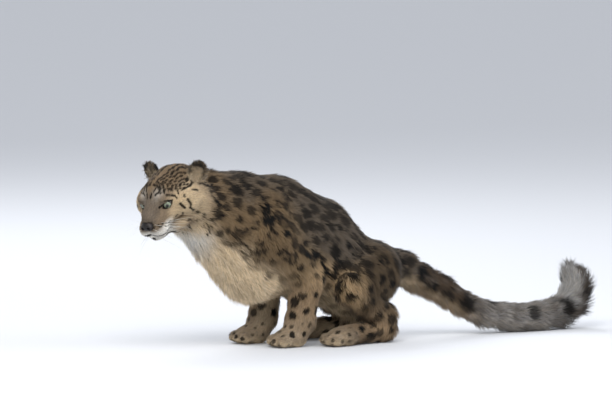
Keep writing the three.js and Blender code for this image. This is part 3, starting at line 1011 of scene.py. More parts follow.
@dataclass
class Markings:
    """The colours of the coat: base tones, rosettes, spots and the strokes of the face.

    Attributes:
        anatomy: The animal's shape.
        seed: Seed of the random draws.
        nape: Where the back of the head begins, in the head's frame.
    """

    anatomy: Anatomy
    seed: int = 7
    nape: float = -46.0
    centres: Array = field(default_factory=lambda: np.zeros((0, 3)))
    traits: Array = field(default_factory=lambda: np.zeros((0, 5)))
    ways: Array = field(default_factory=lambda: np.zeros((0, 3)))
    strokes: Array = field(default_factory=lambda: np.zeros((0, 7)))

    def region(self, p: Array, shares: Array) -> Array:
        """Name the spot region of each point.

        Args:
            p: Points in the animal's frame.
            shares: Their shares of the groups.

        Returns:
            Names of the patches, or an empty name on the head.
        """
        main = np.array(GROUPS)[shares.argmax(axis=1)]
        names = np.full(len(p), "back", dtype="<U8")
        names[(main == "trunk") & (p[:, 2] < 395 - 0.42 * (p[:, 0] + 200))] = "shoulder"
        names[(main == "trunk") & (p[:, 0] > 60) & (p[:, 2] < 300)] = "haunch"
        names[(main == "trunk") & (p[:, 0] < -300)] = "neck"
        names[main == "chest"] = "chest"
        side = (main == "chest") & (101 - 0.64 * p[:, 0] - 0.77 * p[:, 2] < 22)
        names[side] = np.where(p[side, 0] < -235, "neck", "shoulder")
        names[(main == "fore") & (p[:, 2] >= 215)] = "shoulder"
        names[(main == "fore") & (p[:, 2] < 215)] = "leg"
        names[(main == "hind") & (p[:, 2] >= 115)] = "haunch"
        names[(main == "hind") & (p[:, 2] < 115)] = "leg"
        names[main == "paw"] = "paw"
        names[main == "tail"] = "tail"
        names[(main == "tip") | ((main == "tail") & (p[:, 0] > 600))] = "tip"
        names[(main == "head") | (main == "muzzle")] = ""
        nape = self.anatomy.head.inward(p)[:, 0] < self.nape
        names[(main == "head") & nape] = "nape"
        return names

    def scatter(self, p: Array, found: Survey) -> None:
        """Place the spots over the skin.

        Args:
            p: Points all over the skin.
            found: Their survey.
        """
        rng = np.random.default_rng(self.seed)
        names = self.region(p, found.shares)
        centres, traits, ways = [], [], []
        named = np.array([(x, y) for x, y, _, _ in NAMED_SPOTS])
        for at, (_, _, radius, hollow) in zip(Ray().hits(named, self.anatomy.outline), NAMED_SPOTS):
            nearest = np.argmin(((p - at) ** 2).sum(axis=1))
            if np.linalg.norm(p[nearest] - at) > 40:
                continue
            centres.append(p[nearest])
            traits.append((radius, hollow, 0.95, 1.1, rng.uniform(0, 99)))
            ways.append(found.lie[nearest])
        for n in rng.permutation(len(p))[:9000]:
            if not names[n]:
                continue
            patch = PATCHES[names[n]]
            placed = np.array(centres)
            if len(placed) and np.min(((placed - p[n]) ** 2).sum(axis=1)) < patch.spacing**2:
                continue
            centres.append(p[n])
            radius = patch.radius * rng.uniform(0.75, 1.3)
            hollow = patch.hollow * rng.uniform(0.2, 1.5)
            traits.append((radius, hollow, patch.strength * rng.uniform(0.8, 1.1), patch.stretch, rng.uniform(0, 99)))
            ways.append(found.lie[n])
        self.centres, self.traits, self.ways = np.array(centres), np.array(traits), np.array(ways)
        self.strokes = self.face_strokes()

    def face_strokes(self) -> Array:
        """The strokes of the face, laid on its outline.

        Returns:
            Rows of two ends and a half width, in the animal's frame.
        """
        head = self.anatomy.head
        pixels = np.array([end for row in FACE_STROKES for end in (row[:2], row[2:4])])
        drawn = head.inward(Ray().hits(pixels, self.anatomy.skin)).reshape(-1, 2, 3)
        rows = []
        for (start, end), (*_, width) in zip(drawn, FACE_STROKES):
            for hand in (1, -1):
                rows.append((*start * (1, hand, 1), *end * (1, hand, 1), width))
        rng = np.random.default_rng(self.seed + 1)
        for row in range(8):
            for step in range(10):
                turn = math.radians(7 + row * 12.5 + (step % 2) * 3)
                reach = 24 + step * 11.5 + rng.uniform(-2, 2)
                at = np.array([72 - reach * math.cos(turn * 0.55), 5 + reach * math.sin(turn) * 0.75, 80 - row * 4.5])
                way = unit(np.array([-math.cos(turn * 0.55), 0.75 * math.sin(turn), 0.1])) * (3.6 + 0.3 * step)
                for hand in (1, -1):
                    shake = rng.uniform(-1.2, 1.2, 3)
                    ends = (*(at + shake) * (1, hand, 1), *(at + way + shake) * (1, hand, 1))
                    rows.append((*ends, (2.4 + 0.16 * step) * (1 - 0.05 * row)))
        for row in range(4):
            for dot in range(6):
                for hand in (1, -1):
                    at = (120 - dot * 7 - row * 1.5, (19 + dot * 4) * hand, -15 - row * 5.5 - dot * 1.2)
                    rows.append((*at, *np.add(at, (-2.5, 1.0 * hand, -0.6)), 1.1))
        strokes = np.array(rows, float)
        for ends in (slice(0, 3), slice(3, 6)):
            strokes[:, ends] = settle(self.anatomy.skin, head.outward(strokes[:, ends]), 6)
        strokes[:, 6] *= head.scale
        return strokes

    def spots(self, p: Array) -> tuple[Array, Array]:
        """How dark each point is from the spots of the body.

        Args:
            p: Points in the animal's frame.

        Returns:
            Darkness from 0 to 1, and the share of the warmer middle of a rosette.
        """
        dark, inside = np.zeros(len(p)), np.zeros(len(p))
        wobble = noise(p, 9, 3) - 0.5 + 0.6 * (noise(p, 4.2, 4) - 0.5)
        for start in range(0, len(p), 20000):
            piece = slice(start, start + 20000)
            q = p[piece]
            gaps = (q**2).sum(axis=1)[:, None] + (self.centres**2).sum(axis=1) - 2 * q @ self.centres.T
            for n in np.argpartition(gaps, 3, axis=1)[:, :3].T:
                radius, hollow, strength, stretch, phase = self.traits[n].T
                off = q - self.centres[n]
                along = (off * self.ways[n]).sum(axis=1)
                across = np.linalg.norm(off - along[:, None] * self.ways[n], axis=1)
                reach = np.hypot(along / stretch, across) / radius + wobble[piece] * 0.75
                breaks = noise(off + phase[:, None] * 31, 15, 5)
                edge = 1 - smoothstep(0.9, 1.05, reach)
                hole = (1 - smoothstep(0.24, 0.5, reach)) * smoothstep(0.3, 0.5, hollow)
                ring = edge * (1 - hole) * (1 - smoothstep(0.58, 0.75, breaks) * smoothstep(0.3, 0.6, hollow))
                dark[piece] = np.maximum(dark[piece], ring * strength)
                inside[piece] = np.maximum(inside[piece], edge * hole)
        return dark, inside

    def face(self, p: Array) -> Array:
        """How dark each point is from the strokes of the face.

        Args:
            p: Points in the animal's frame.

        Returns:
            Darkness from 0 to 1.
        """
        dark = np.zeros(len(p))
        jitter = (noise(p, 5, 8) - 0.5) * 1.6
        for stroke in self.strokes:
            gap = Roll(tuple(stroke[:3]), tuple(stroke[3:6]), (stroke[6],) * 2, Coat.FACE).distance(p) + jitter
            dark = np.maximum(dark, 1 - smoothstep(-0.3, 1.5, gap))
        return dark

    def colour(self, p: Array, normal: Array, found: Survey) -> Array:
        """The colour of the coat.

        Args:
            p: Points on the skin, in the animal's frame.
            normal: Directions out of the skin.
            found: The points' survey.

        Returns:
            Linear red, green and blue, one row for each point.
        """
        share = dict(zip(GROUPS, found.shares.T))
        x, z = p[:, 0], p[:, 2]
        up = normal[:, 2]
        patchy = noise(p, 60, 11) - 0.5
        fine = noise(p, 14, 12) - 0.5
        ridge = np.interp(x, [-420, -230, -100, 40, 170, 300], [505, 515, 505, 460, 385, 300])
        below = ridge - z
        saddle = (1 - smoothstep(55, 150, below + 50 * patchy)) * smoothstep(-300, -170, x)
        smoky = np.clip(0.25 + 0.95 * smoothstep(-150, -20, x) * (1 - smoothstep(150, 215, below)), 0, 1)
        side = blend(np.tile(Tone.SHOULDER.rgb, (len(p), 1)), Tone.FLANK.rgb, smoothstep(-120, 30, x))
        side = blend(side, Tone.HAUNCH.rgb, smoothstep(60, 170, x))
        gold = smoothstep(-290, -200, -z - 60 * patchy) * smoothstep(-30, 40, x) * (1 - smoothstep(135, 200, x))
        side = blend(side, Tone.GOLD.rgb, gold * 0.8)
        trunk = blend(side, Tone.BACK.rgb, np.clip(np.maximum(saddle * 0.85, smoky * smoothstep(-140, -20, x)), 0, 1))
        under = smoothstep(0.15, 0.75, -up + 0.35 * patchy) * (z < 260)
        trunk = blend(trunk, Tone.BELLY.rgb, under)
        throat = smoothstep(0.1, 0.7, -normal[:, 0] * 0.8 - up * 0.6 + 0.2 * fine)
        chest = blend(np.tile(Tone.SHOULDER.rgb, (len(p), 1)), Tone.CHEST.rgb, throat)
        chest = blend(chest, Tone.CHEST.rgb, 1 - smoothstep(265, 330, z))
        chest = blend(chest, Tone.WHITE.rgb, throat * smoothstep(255, 330, -x) * (1 - smoothstep(325, 365, z)) * 0.95)
        haunch = blend(side, Tone.LEG.rgb, 1 - smoothstep(50, 130, z))
        limb = blend(side, Tone.LEG.rgb, 1 - smoothstep(120, 230, z))
        inner = smoothstep(0.25, 0.85, -normal[:, 1] * np.sign(p[:, 1])) * (z < 230)
        haunch = blend(haunch, Tone.BELLY.rgb, inner * 0.8)
        limb = blend(limb, Tone.BELLY.rgb, inner * 0.8)
        paw = blend(np.tile(Tone.PAW.rgb, (len(p), 1)), Tone.CHEST.rgb, 1 - smoothstep(6, 26, z))
        below_tail = smoothstep(0.05, 0.65, -up + 0.3 * fine)
        tail = blend(np.tile(Tone.TAIL_TOP.rgb, (len(p), 1)), Tone.TAIL_UNDER.rgb, below_tail)
        frost = smoothstep(540, 700, x) * (0.6 + 0.4 * smoothstep(-0.2, 0.5, -up))
        tail = blend(tail, Tone.FROST.rgb, np.clip(frost + 0.5 * fine, 0, 1) * 0.75)
        tip = blend(np.tile(Tone.TIP.rgb, (len(p), 1)), Tone.FROST.rgb, smoothstep(0.3, -0.5, normal[:, 0] + fine))
        base = sum(
            tone * share[name][:, None]
            for name, tone in (
                ("trunk", trunk),
                ("chest", chest),
                ("fore", limb),
                ("hind", haunch),
                ("paw", paw),
                ("tail", tail),
                ("tip", tip),
            )
        )
        head = share["head"] + share["muzzle"]
        base = base + self.head_tone(p, normal, fine) * head[:, None]
        base = base * (1 + 0.16 * patchy + 0.22 * fine)[:, None]
        dark, inside = self.spots(p)
        face = smoothstep(self.nape - 8, self.nape + 2, self.anatomy.head.inward(p)[:, 0])
        body = 1 - smoothstep(0.2, 0.6, head) * face
        pale = np.clip(share["chest"] * throat * 0.8 + under * 0.6 + below_tail * share["tail"] * 0.5, 0, 1)
        base = blend(base, base * 0.72 + Tone.INSIDE.rgb * 0.1, inside * body * 0.7)
        soft = smoothstep(0.35, 0.75, noise(p, 30, 13)) * (0.3 + 0.7 * saddle)
        ink = blend(np.tile(Tone.DARK.rgb, (len(p), 1)), Tone.SOFT_DARK.rgb, soft)
        base = blend(base, ink, dark * body * (1 - pale * 0.75))
        return np.clip(self.head_marks(base, p, normal, head), 0.003, 0.95)

    def head_tone(self, p: Array, normal: Array, fine: Array) -> Array:
        """Base colours of the head.

        Args:
            p: Points in the animal's frame.
            normal: Directions out of the skin; not used.
            fine: Fine noise at the points.

        Returns:
            Linear colours.
        """
        q = self.anatomy.head.inward(p)
        f, s, u = q[:, 0], np.abs(q[:, 1]), q[:, 2]
        out = np.tile(Tone.FACE.rgb, (len(p), 1))
        out = blend(out, Tone.CROWN.rgb, smoothstep(30, 60, u))
        out = blend(out, Tone.CHEEK.rgb, smoothstep(36, 60, s) * (1 - smoothstep(30, 50, u)) * smoothstep(-85, 20, f))
        out = blend(out, Tone.SNOUT.rgb, smoothstep(52, 84, f) * (1 - smoothstep(16, 30, s)) * smoothstep(-14, 4, u))
        beside = smoothstep(64, 96, f) * (1 - smoothstep(-22, -8, u + 0.25 * (f - 100)))
        out = blend(out, Tone.WHITE.rgb, beside * 0.85)
        low = 1 - smoothstep(306, 340, p[:, 2] + 22 * fine)
        out = blend(out, Tone.WHITE.rgb, low)
        eyebrow = np.exp(-(((f - 62) / 16) ** 2 + ((s - 24) / 14) ** 2 + ((u - 52) / 16) ** 2))
        return blend(out, Tone.WHITE.rgb, 0.35 * eyebrow)

    def head_marks(self, base: Array, p: Array, normal: Array, head: Array) -> Array:
        """Draw the strokes, lids, lips and ears over the base colours.

        Args:
            base: Colours so far.
            p: Points in the animal's frame.
            normal: Directions out of the skin.
            head: Share of the head at each point; not used.

        Returns:
            Linear colours.
        """
        h = self.anatomy.head
        near = np.linalg.norm(p - np.array(h.at), axis=1) < 215
        if not near.any():
            return base
        q = h.inward(p[near])
        folded = np.column_stack([q[:, 0], np.abs(q[:, 1]), q[:, 2]])
        part = blend(base[near], Tone.DARK.rgb, self.face(p[near]) * 0.95)
        rim = 1 - smoothstep(1.6, 4.2, self.anatomy.slit(folded))
        part = blend(part, Tone.LID.rgb, rim)
        line = self.anatomy.mouth_line()
        gap = np.full(len(q), 1e9)
        for a, b in zip(line[:-1], line[1:]):
            gap = np.minimum(gap, Roll(tuple(a), tuple(b), (1.5, 1.5), Coat.MUZZLE).distance(q))
        part = blend(part, Tone.LID.rgb, 1 - smoothstep(1.6, 4.6, gap + (folded[:, 2] > -30) * 0.8))
        nose = ellipsoid(folded - np.array(h.nose_at), np.array(h.nose_size) + 1.5)
        part = blend(part, Tone.LID.rgb, 1 - smoothstep(-1, 1.5, nose))
        ear = self.anatomy.ears(folded)
        is_ear = 1 - smoothstep(2.5, 6, ear)
        lean = unit(np.array(h.ear_lean))
        height = (folded - np.array(h.ear_at)) @ lean
        out_of = normal[near] @ h.axes().T * np.column_stack([np.ones(len(q)), np.sign(q[:, 1]), np.ones(len(q))])
        inside = smoothstep(-0.25, 0.2, out_of @ unit(np.array(h.ear_axis)))
        across = folded - np.array(h.ear_at) - height[:, None] * lean
        middle = 1 - smoothstep(9, 16, np.hypot(np.linalg.norm(across, axis=1), height - 4))
        back = blend(np.tile(Tone.SOFT_DARK.rgb, (len(q), 1)), Tone.FROST.rgb, middle)
        tone = blend(back, Tone.CHEST.rgb * 0.5, inside)
        rim = smoothstep(13, 19, np.linalg.norm(across, axis=1)) * smoothstep(-12, 6, height)
        edge = np.maximum(smoothstep(13, 21, height), rim * 0.8)
        tone = blend(tone, Tone.DARK.rgb, np.clip(edge, 0, 1) * 0.93)
        part = blend(part, tone, is_ear)
        out = base.copy()
        out[near] = part
        return out


@dataclass(frozen=True)
class Atlas:
    """An unwrap of the skin's own shape: each group of the body is a cylinder laid flat in its own cell."""

    cells: int = 4
    margin: float = 0.06

    def chart(self, p: Array, found: Survey) -> Array:
        """The cell that each point belongs to.

        Args:
            p: Points in the animal's frame.
            found: Their survey.

        Returns:
            Numbers of cells.
        """
        main = found.shares.argmax(axis=1)
        right = (p[:, 1] > 0).astype(int)
        table = {"trunk": 0, "chest": 1, "fore": 2, "hind": 4, "paw": 6, "tail": 10, "tip": 11, "head": 12, "muzzle": 12}
        first = np.array([table[name] for name in GROUPS])[main]
        paired = np.isin(main, [GROUPS.index("fore"), GROUPS.index("hind")])
        paws = main == GROUPS.index("paw")
        return first + paired * right + paws * (right * 2 + (p[:, 0] > 20))

    def place(self, p: Array, chart: Array, head: Head) -> Array:
        """Where points lie on the unwrap.

        Args:
            p: Points in the animal's frame.
            chart: Their cells.
            head: The head, for its frame.

        Returns:
            Angles round each cylinder and places along it, from 0 to 1.
        """
        along, around = np.zeros(len(p)), np.zeros(len(p))
        frames = {
            0: ((-60, 0, 320), (1, 0, -0.35), 900),
            1: ((-240, 0, 320), (0.6, 0, -0.8), 560),
            2: ((-60, -80, 200), (0.25, 0, -1), 620),
            3: ((-60, 80, 200), (0.25, 0, -1), 620),
            4: ((220, -100, 110), (0.1, 0, -1), 460),
            5: ((220, 100, 110), (0.1, 0, -1), 460),
            6: ((-40, -78, 30), (1, 0, 0), 300),
            7: ((160, -120, 30), (1, 0, 0), 420),
            8: ((-60, 78, 30), (1, 0, 0), 300),
            9: ((160, 120, 30), (1, 0, 0), 420),
            10: ((600, 0, 100), (1, 0, -0.35), 760),
            11: ((930, 0, 90), (0.7, 0, 0.7), 420),
        }
        for number, (at, axis, span) in frames.items():
            mine = chart == number
            off = p[mine] - np.array(at, float)
            way = unit(np.array(axis, float))
            second = unit(np.cross(way, (0.0, 1.0, 0.0)))
            along[mine] = off @ way / span + 0.5
            around[mine] = np.arctan2(off[:, 1], off @ second) / math.tau + 0.5
        mine = chart == 12
        q = head.inward(p[mine])
        along[mine] = q[:, 0] / 320 + 0.45
        around[mine] = np.arctan2(q[:, 1], q[:, 2]) / math.tau + 0.5
        return np.column_stack([around, np.clip(along, 0.01, 0.99)])

    def lay(self, place: Array, chart: Array) -> Array:
        """Put places into their cells.

        Args:
            place: Angles and places along, from 0 to 1.
            chart: Cells.

        Returns:
            Map coordinates from 0 to 1.
        """
        corner = np.column_stack([chart % self.cells, chart // self.cells])
        return (corner + self.margin + place * (1 - 2 * self.margin)) / self.cells


@dataclass(frozen=True)
class Finish:
    """A material for skin or coat: it takes its colour from the mesh and breaks it up with noise.

    Attributes:
        name: Name of the material.
        roughness: How rough it is.
        sheen: Strength of its sheen.
        bump: Strength of the fine bump.
        grain: Scale of the noise, for each metre.
    """

    name: str
    roughness: float
    sheen: float
    bump: float
    grain: float

    def make(self) -> bpy.types.Material:
        """Build the material.

        Returns:
            The material.
        """
        material = bpy.data.materials.new(self.name)
        material.use_nodes = True
        nodes, links = material.node_tree.nodes, material.node_tree.links
        surface = nodes["Principled BSDF"]
        surface.inputs["Roughness"].default_value = self.roughness
        surface.inputs["Specular IOR Level"].default_value = 0.12
        surface.inputs["Sheen Weight"].default_value = self.sheen
        surface.inputs["Sheen Roughness"].default_value = 0.5
        colour = nodes.new("ShaderNodeAttribute")
        colour.attribute_name = "coat_colour"
        place = nodes.new("ShaderNodeTexCoord")
        grain = nodes.new("ShaderNodeTexNoise")
        grain.inputs["Scale"].default_value = self.grain
        grain.inputs["Detail"].default_value = 3.0
        links.new(place.outputs["Object"], grain.inputs["Vector"])
        spread = nodes.new("ShaderNodeMapRange")
        spread.inputs["To Min"].default_value = 0.78
        spread.inputs["To Max"].default_value = 1.22
        links.new(grain.outputs["Fac"], spread.inputs["Value"])
        mix = nodes.new("ShaderNodeVectorMath")
        mix.operation = "SCALE"
        links.new(colour.outputs["Color"], mix.inputs[0])
        links.new(spread.outputs["Result"], mix.inputs["Scale"])
        links.new(mix.outputs["Vector"], surface.inputs["Base Color"])
        if self.bump:
            bump = nodes.new("ShaderNodeBump")
            bump.inputs["Strength"].default_value = self.bump
            bump.inputs["Distance"].default_value = 0.002
            links.new(grain.outputs["Fac"], bump.inputs["Height"])
            links.new(bump.outputs["Normal"], surface.inputs["Normal"])
        return material


@dataclass(frozen=True)
class Frame:
    """Where the animal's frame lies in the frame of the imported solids.

    Attributes:
        shift: What is added to a point, in mm.
    """

    shift: tuple[float, ...]

    @classmethod
    def found(cls, head: Head) -> "Frame":
        """Find it from the solid of the left eye.

        Args:
            head: The head, for the eye's place.

        Returns:
            The frame.
        """
        low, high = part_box("eye_left")
        middle = (np.array(low) + np.array(high)) / 2 / MM
        return cls(tuple(middle - head.outward(np.array([head.eye_at]))[0]))

    def metres(self, p: Array) -> Array:
        """Points of the animal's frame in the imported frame, in metres."""
        return (np.asarray(p, float) + np.array(self.shift)) * MM


def mesh_object(name: str, points: Array, faces: Array, material: bpy.types.Material) -> bpy.types.Object:
    """Make a smooth mesh object.

    Args:
        name: Name of the object.
        points: Points in metres.
        faces: Faces of three or four corners each, as rows.
        material: Its material.

    Returns:
        The object, linked to the scene.
    """
    mesh = bpy.data.meshes.new(name)
    sides = faces.shape[1]
    mesh.vertices.add(len(points))
    mesh.vertices.foreach_set("co", points.astype(np.float32).ravel())
    mesh.loops.add(faces.size)
    mesh.loops.foreach_set("vertex_index", faces.astype(np.int32).ravel())
    mesh.polygons.add(len(faces))
    mesh.polygons.foreach_set("loop_start", np.arange(0, faces.size, sides, dtype=np.int32))
    mesh.polygons.foreach_set("use_smooth", np.ones(len(faces), bool))
    mesh.update(calc_edges=True)
    mesh.materials.append(material)
    made = bpy.data.objects.new(name, mesh)
    bpy.context.scene.collection.objects.link(made)
    return made


def set_colours(mesh: bpy.types.Mesh, colours: Array) -> None:
    """Store a colour on each point.

    Args:
        mesh: The mesh.
        colours: Linear red, green and blue, one row for each point.
    """
    layer = mesh.color_attributes.new("coat_colour", "FLOAT_COLOR", "POINT")
    full = np.ones((len(colours), 4), np.float32)
    full[:, :3] = colours
    layer.data.foreach_set("color", full.ravel())


@dataclass
class Skin:
    """One skin over the whole animal, under the coat.

    Attributes:
        anatomy: The animal's shape.
        cell: Size of a mesh cell, in mm.
        head_reach: How far round the head the cells are halved, in mm.
        fine_reach: How far round the eyes and the muzzle they are halved again, in the head's units.
    """

    anatomy: Anatomy
    cell: float = 5.2
    head_reach: float = 150.0
    fine_reach: float = 27.0
    points: Array = field(default_factory=lambda: np.zeros((0, 3)))
    triangles: Array = field(default_factory=lambda: np.zeros((0, 3), int))

    def make(self) -> None:
        """Work out the skin's points and triangles in the animal's frame."""
        points, quads = net(self.anatomy.skin, (-560, -200, -12), (1060, 200, 590), self.cell)
        mesh = bpy.data.meshes.new("skin_draft")
        mesh.from_pydata(points.tolist(), [], quads.tolist())
        made = bmesh.new()
        made.from_mesh(mesh)
        bpy.data.meshes.remove(mesh)
        self.keep_largest(made)
        head = self.anatomy.head
        places = [(Vector(head.at), self.head_reach)]
        self.split(made, places)
        self.settle(made)
        fine = [Vector(head.outward(np.array([np.multiply(head.eye_at, (1, hand, 1))]))[0]) for hand in (1, -1)]
        fine.append(Vector(head.outward(np.array([(112, 0, -26)]))[0]))
        self.split(made, [(at, self.fine_reach * head.scale) for at in fine])
        self.settle(made)
        bmesh.ops.triangulate(made, faces=made.faces)
        made.verts.ensure_lookup_table()
        self.points = np.array([v.co for v in made.verts])
        self.triangles = np.array([[v.index for v in f.verts] for f in made.faces])
        made.free()
        self.points[:, 2] = np.maximum(self.points[:, 2], 0.4)

    def keep_largest(self, made: bmesh.types.BMesh) -> None:
        """Drop loose scraps.

        Args:
            made: The mesh.
        """
        left, best = set(made.verts), []
        while left:
            island, edge = {next(iter(left))}, []
            edge = list(island)
            while edge:
                vert = edge.pop()
                for link in vert.link_edges:
                    other = link.other_vert(vert)
                    if other not in island:
                        island.add(other)
                        edge.append(other)
            left -= island
            if len(island) > len(best):
                best = island
        best = set(best)
        bmesh.ops.delete(made, geom=[v for v in made.verts if v not in best], context="VERTS")

    def split(self, made: bmesh.types.BMesh, places: list[tuple[Vector, float]]) -> None:
        """Halve the cells near some places.

        Args:
            made: The mesh.
            places: Middles and reaches, in mm.
        """
        edges = []
        for edge in made.edges:
            middle = (edge.verts[0].co + edge.verts[1].co) / 2
            if any((middle - at).length < reach for at, reach in places):
                edges.append(edge)
        bmesh.ops.subdivide_edges(made, edges=edges, cuts=1, use_grid_fill=True)

    def settle(self, made: bmesh.types.BMesh) -> None:
        """Lay the points round the head on the field again.

        Args:
            made: The mesh.
        """
        made.verts.ensure_lookup_table()
        centre = Vector(self.anatomy.head.at)
        near = [v for v in made.verts if (v.co - centre).length < self.head_reach + 12]
        moved = settle(self.anatomy.skin, np.array([v.co for v in near]), 1)
        for vert, at in zip(near, moved):
            step = Vector(at) - vert.co
            vert.co += step if step.length < 4 else step.normalized() * 4

    def normals(self) -> Array:
        """Directions out of the skin at its points.

        Returns:
            One unit vector for each point.
        """
        a, b, c = (self.points[self.triangles[:, n]] for n in range(3))
        face = np.cross(b - a, c - a)
        out = np.zeros_like(self.points)
        for n in range(3):
            for axis in range(3):
                out[:, axis] += np.bincount(self.triangles[:, n], face[:, axis], len(self.points))
        return unit(out)

    def show(self, markings: Markings, frame: Frame, found: Survey) -> bpy.types.Object:
        """Make the skin's object.

        Args:
            markings: The colours.
            frame: Where the animal lies.
            found: Survey of the skin's points.

        Returns:
            The object.
        """
        finish = Finish("skin_fur", 0.88, 0.05, 0.5, 520.0)
        made = mesh_object("skin", frame.metres(self.points), self.triangles, finish.make())
        # The skin takes the coat's colours at 0.72: painted shade under the coat, between the tufts.
        set_colours(made.data, markings.colour(self.points, self.normals(), found) * 0.72)
        atlas = Atlas()
        middle = self.points[self.triangles].mean(axis=1)
        chart = atlas.chart(middle, Survey(*(self.per_face(v) for v in vars(found).values())))
        centre = atlas.place(middle, chart, self.anatomy.head)
        corners = []
        for n in range(3):
            place = atlas.place(self.points[self.triangles[:, n]], chart, self.anatomy.head)
            turn = np.round(place[:, 0] - centre[:, 0])
            place[:, 0] -= turn
            corners.append(atlas.lay(np.clip(place, -0.05, 1.05), chart))
        layer = made.data.uv_layers.new(name="OFBake")
        layer.data.foreach_set("uv", np.stack(corners, axis=1).astype(np.float32).ravel())
        return made

    def per_face(self, values: Array) -> Array:
        """Values of the points, averaged over each face."""
        return values[self.triangles].mean(axis=1)


@dataclass
class Fur:
    """The coat: thin closed tufts, rooted in the skin and lying along the body.

    Attributes:
        skin: The skin that it grows on.
        markings: Its colours.
        tufts: How many there are.
        seed: Seed of the random draws.
        piece_limit: Most triangles of one piece.
    """

    skin: Skin
    markings: Markings
    tufts: int = 146000
    seed: int = 11
    piece_limit: int = 190000

    def roots(self, found: Survey) -> tuple[Array, Array, Array]:
        """Draw the roots over the skin, closer where the tufts are small.

        Args:
            found: Survey of the skin's points.

        Returns:
            Triangle, and the two shares that place each root in it.
        """
        rng = np.random.default_rng(self.seed)
        a, b, c = (self.skin.points[self.skin.triangles[:, n]] for n in range(3))
        area = np.linalg.norm(np.cross(b - a, c - a), axis=1) / 2
        spacing = found.spacing[self.skin.triangles].mean(axis=1)
        hidden = a[:, 2] < 1.5
        weight = np.where(hidden, 0, area / spacing**2)
        total = np.cumsum(weight)
        picks = (np.arange(self.tufts) + rng.uniform(0, 1, self.tufts)) / self.tufts * total[-1]
        face = np.minimum(np.searchsorted(total, picks), len(weight) - 1)
        u, v = rng.uniform(0, 1, (2, self.tufts))
        over = u + v > 1
        return face, np.where(over, 1 - u, u), np.where(over, 1 - v, v)

    def grow(self, found: Survey, normals: Array) -> tuple[Array, Array, Array, Array]:
        """Shape every tuft.

        Args:
            found: Survey of the skin's points.
            normals: Directions out of the skin at its points.

        Returns:
            Seven points for each tuft, their colours, their soft directions, and the map place of each root.
        """
        rng = np.random.default_rng(self.seed + 1)
        face, u, v = self.roots(found)
        corners = self.skin.triangles[face]
        weights = np.stack([1 - u - v, u, v], axis=1)

        def mixed(values: Array) -> Array:
            if values.ndim == 1:
                return (values[corners] * weights).sum(axis=1)
            return (values[corners] * weights[:, :, None]).sum(axis=1)

        root, normal = mixed(self.skin.points), unit(mixed(normals))
        near = Survey(*(mixed(values) for values in vars(found).values()))
        clump = np.stack([noise(root, 26, 21 + n) - 0.5 for n in range(3)], axis=1)
        strand = np.stack([noise(root, 9, 31 + n) - 0.5 for n in range(3)], axis=1)
        loose = np.clip((near.length - 8) / 30, 0, 1)[:, None]
        lie = near.lie + clump * (0.35 + 0.75 * loose) + strand * (0.3 + 0.4 * loose)
        lie = lie + rng.normal(0, 0.10, lie.shape)
        lie = unit(lie - normal * (lie * normal).sum(axis=1, keepdims=True))
        side = np.cross(lie, normal)
        length = near.length * rng.uniform(0.72, 1.12, len(root)) * (0.8 + 0.4 * noise(root, 22, 41))
        length = length * self.short_at_lids(root)
        lift = np.radians(near.lift) * (0.75 + 0.5 * noise(root, 18, 42)) * rng.uniform(0.85, 1.15, len(root))
        width = near.width * rng.uniform(0.7, 1.1, len(root))
        sunk = root - normal * 0.8
        first = lie * np.cos(lift * 1.25)[:, None] + normal * np.sin(lift * 1.25)[:, None]
        second = lie * np.cos(lift * 0.7)[:, None] + normal * np.sin(lift * 0.7)[:, None]
        second = unit(second + np.array([0, 0, -0.22]) * loose + side * rng.normal(0, 0.18, len(root))[:, None])
        middle = sunk + first * (length * 0.5)[:, None]
        tip = middle + second * (length * 0.5)[:, None]
        across, thick = side * (width * 0.5)[:, None], normal * (width * 0.32)[:, None]
        shape = [sunk + across, sunk - across, sunk + thick]
        shape += [middle + across * 0.72, middle - across * 0.72, middle + thick * 0.7, tip]
        points = np.stack(shape, axis=1)
        points[:, :, 2] = np.maximum(points[:, :, 2], 0.5)
        shade = rng.uniform(0.78, 1.22, len(root))[:, None]
        warm = rng.normal(0, 0.03, len(root))[:, None] * np.array([1, 0.3, -1])
        tint = shade * (1 + warm)
        inner = self.markings.colour(root + lie * (length * 0.45)[:, None], normal, near) * tint
        outer = self.markings.colour(root + lie * (length * 0.85)[:, None], normal, near) * tint
        # The three root points take 0.55 of the colour: painted shade deep in the coat, between the tufts. The tip
        # point is drawn 1.2 times lighter.
        tones = np.stack([inner * 0.55] * 3 + [inner] * 3 + [outer * 1.2 + 0.002], axis=1)
        tones = np.clip(tones, 0.002, 0.96)
        own = unit(np.cross(side, first))
        soft = unit(normal * 0.75 + own * 0.3)
        directions = np.stack(
            [unit(soft + side * 0.35), unit(soft - side * 0.35), soft] * 2 + [soft], axis=1
        )
        atlas = Atlas()
        chart = atlas.chart(root, near)
        place = atlas.lay(atlas.place(root, chart, self.skin.anatomy.head), chart)
        return points, tones, directions, place

    def short_at_lids(self, root: Array) -> Array:
        """How much shorter the tufts are beside the eyes, where they would hang over them.

        Args:
            root: Roots of the tufts, in the animal's frame.

        Returns:
            Shares of the full length.
        """
        anatomy = self.skin.anatomy
        head = anatomy.head
        share = np.ones(len(root))
        close = np.linalg.norm(root - np.array(head.at), axis=1) < 150
        q = head.inward(root[close])
        folded = np.column_stack([q[:, 0], np.abs(q[:, 1]), q[:, 2]])
        from_eye = np.linalg.norm(folded - np.array(head.eye_at), axis=1)
        gap = np.where(from_eye < head.eye_radius * 1.9, anatomy.slit(folded), 99)
        share[close] = np.clip(0.12 + gap / 13, 0.12, 1)
        return share

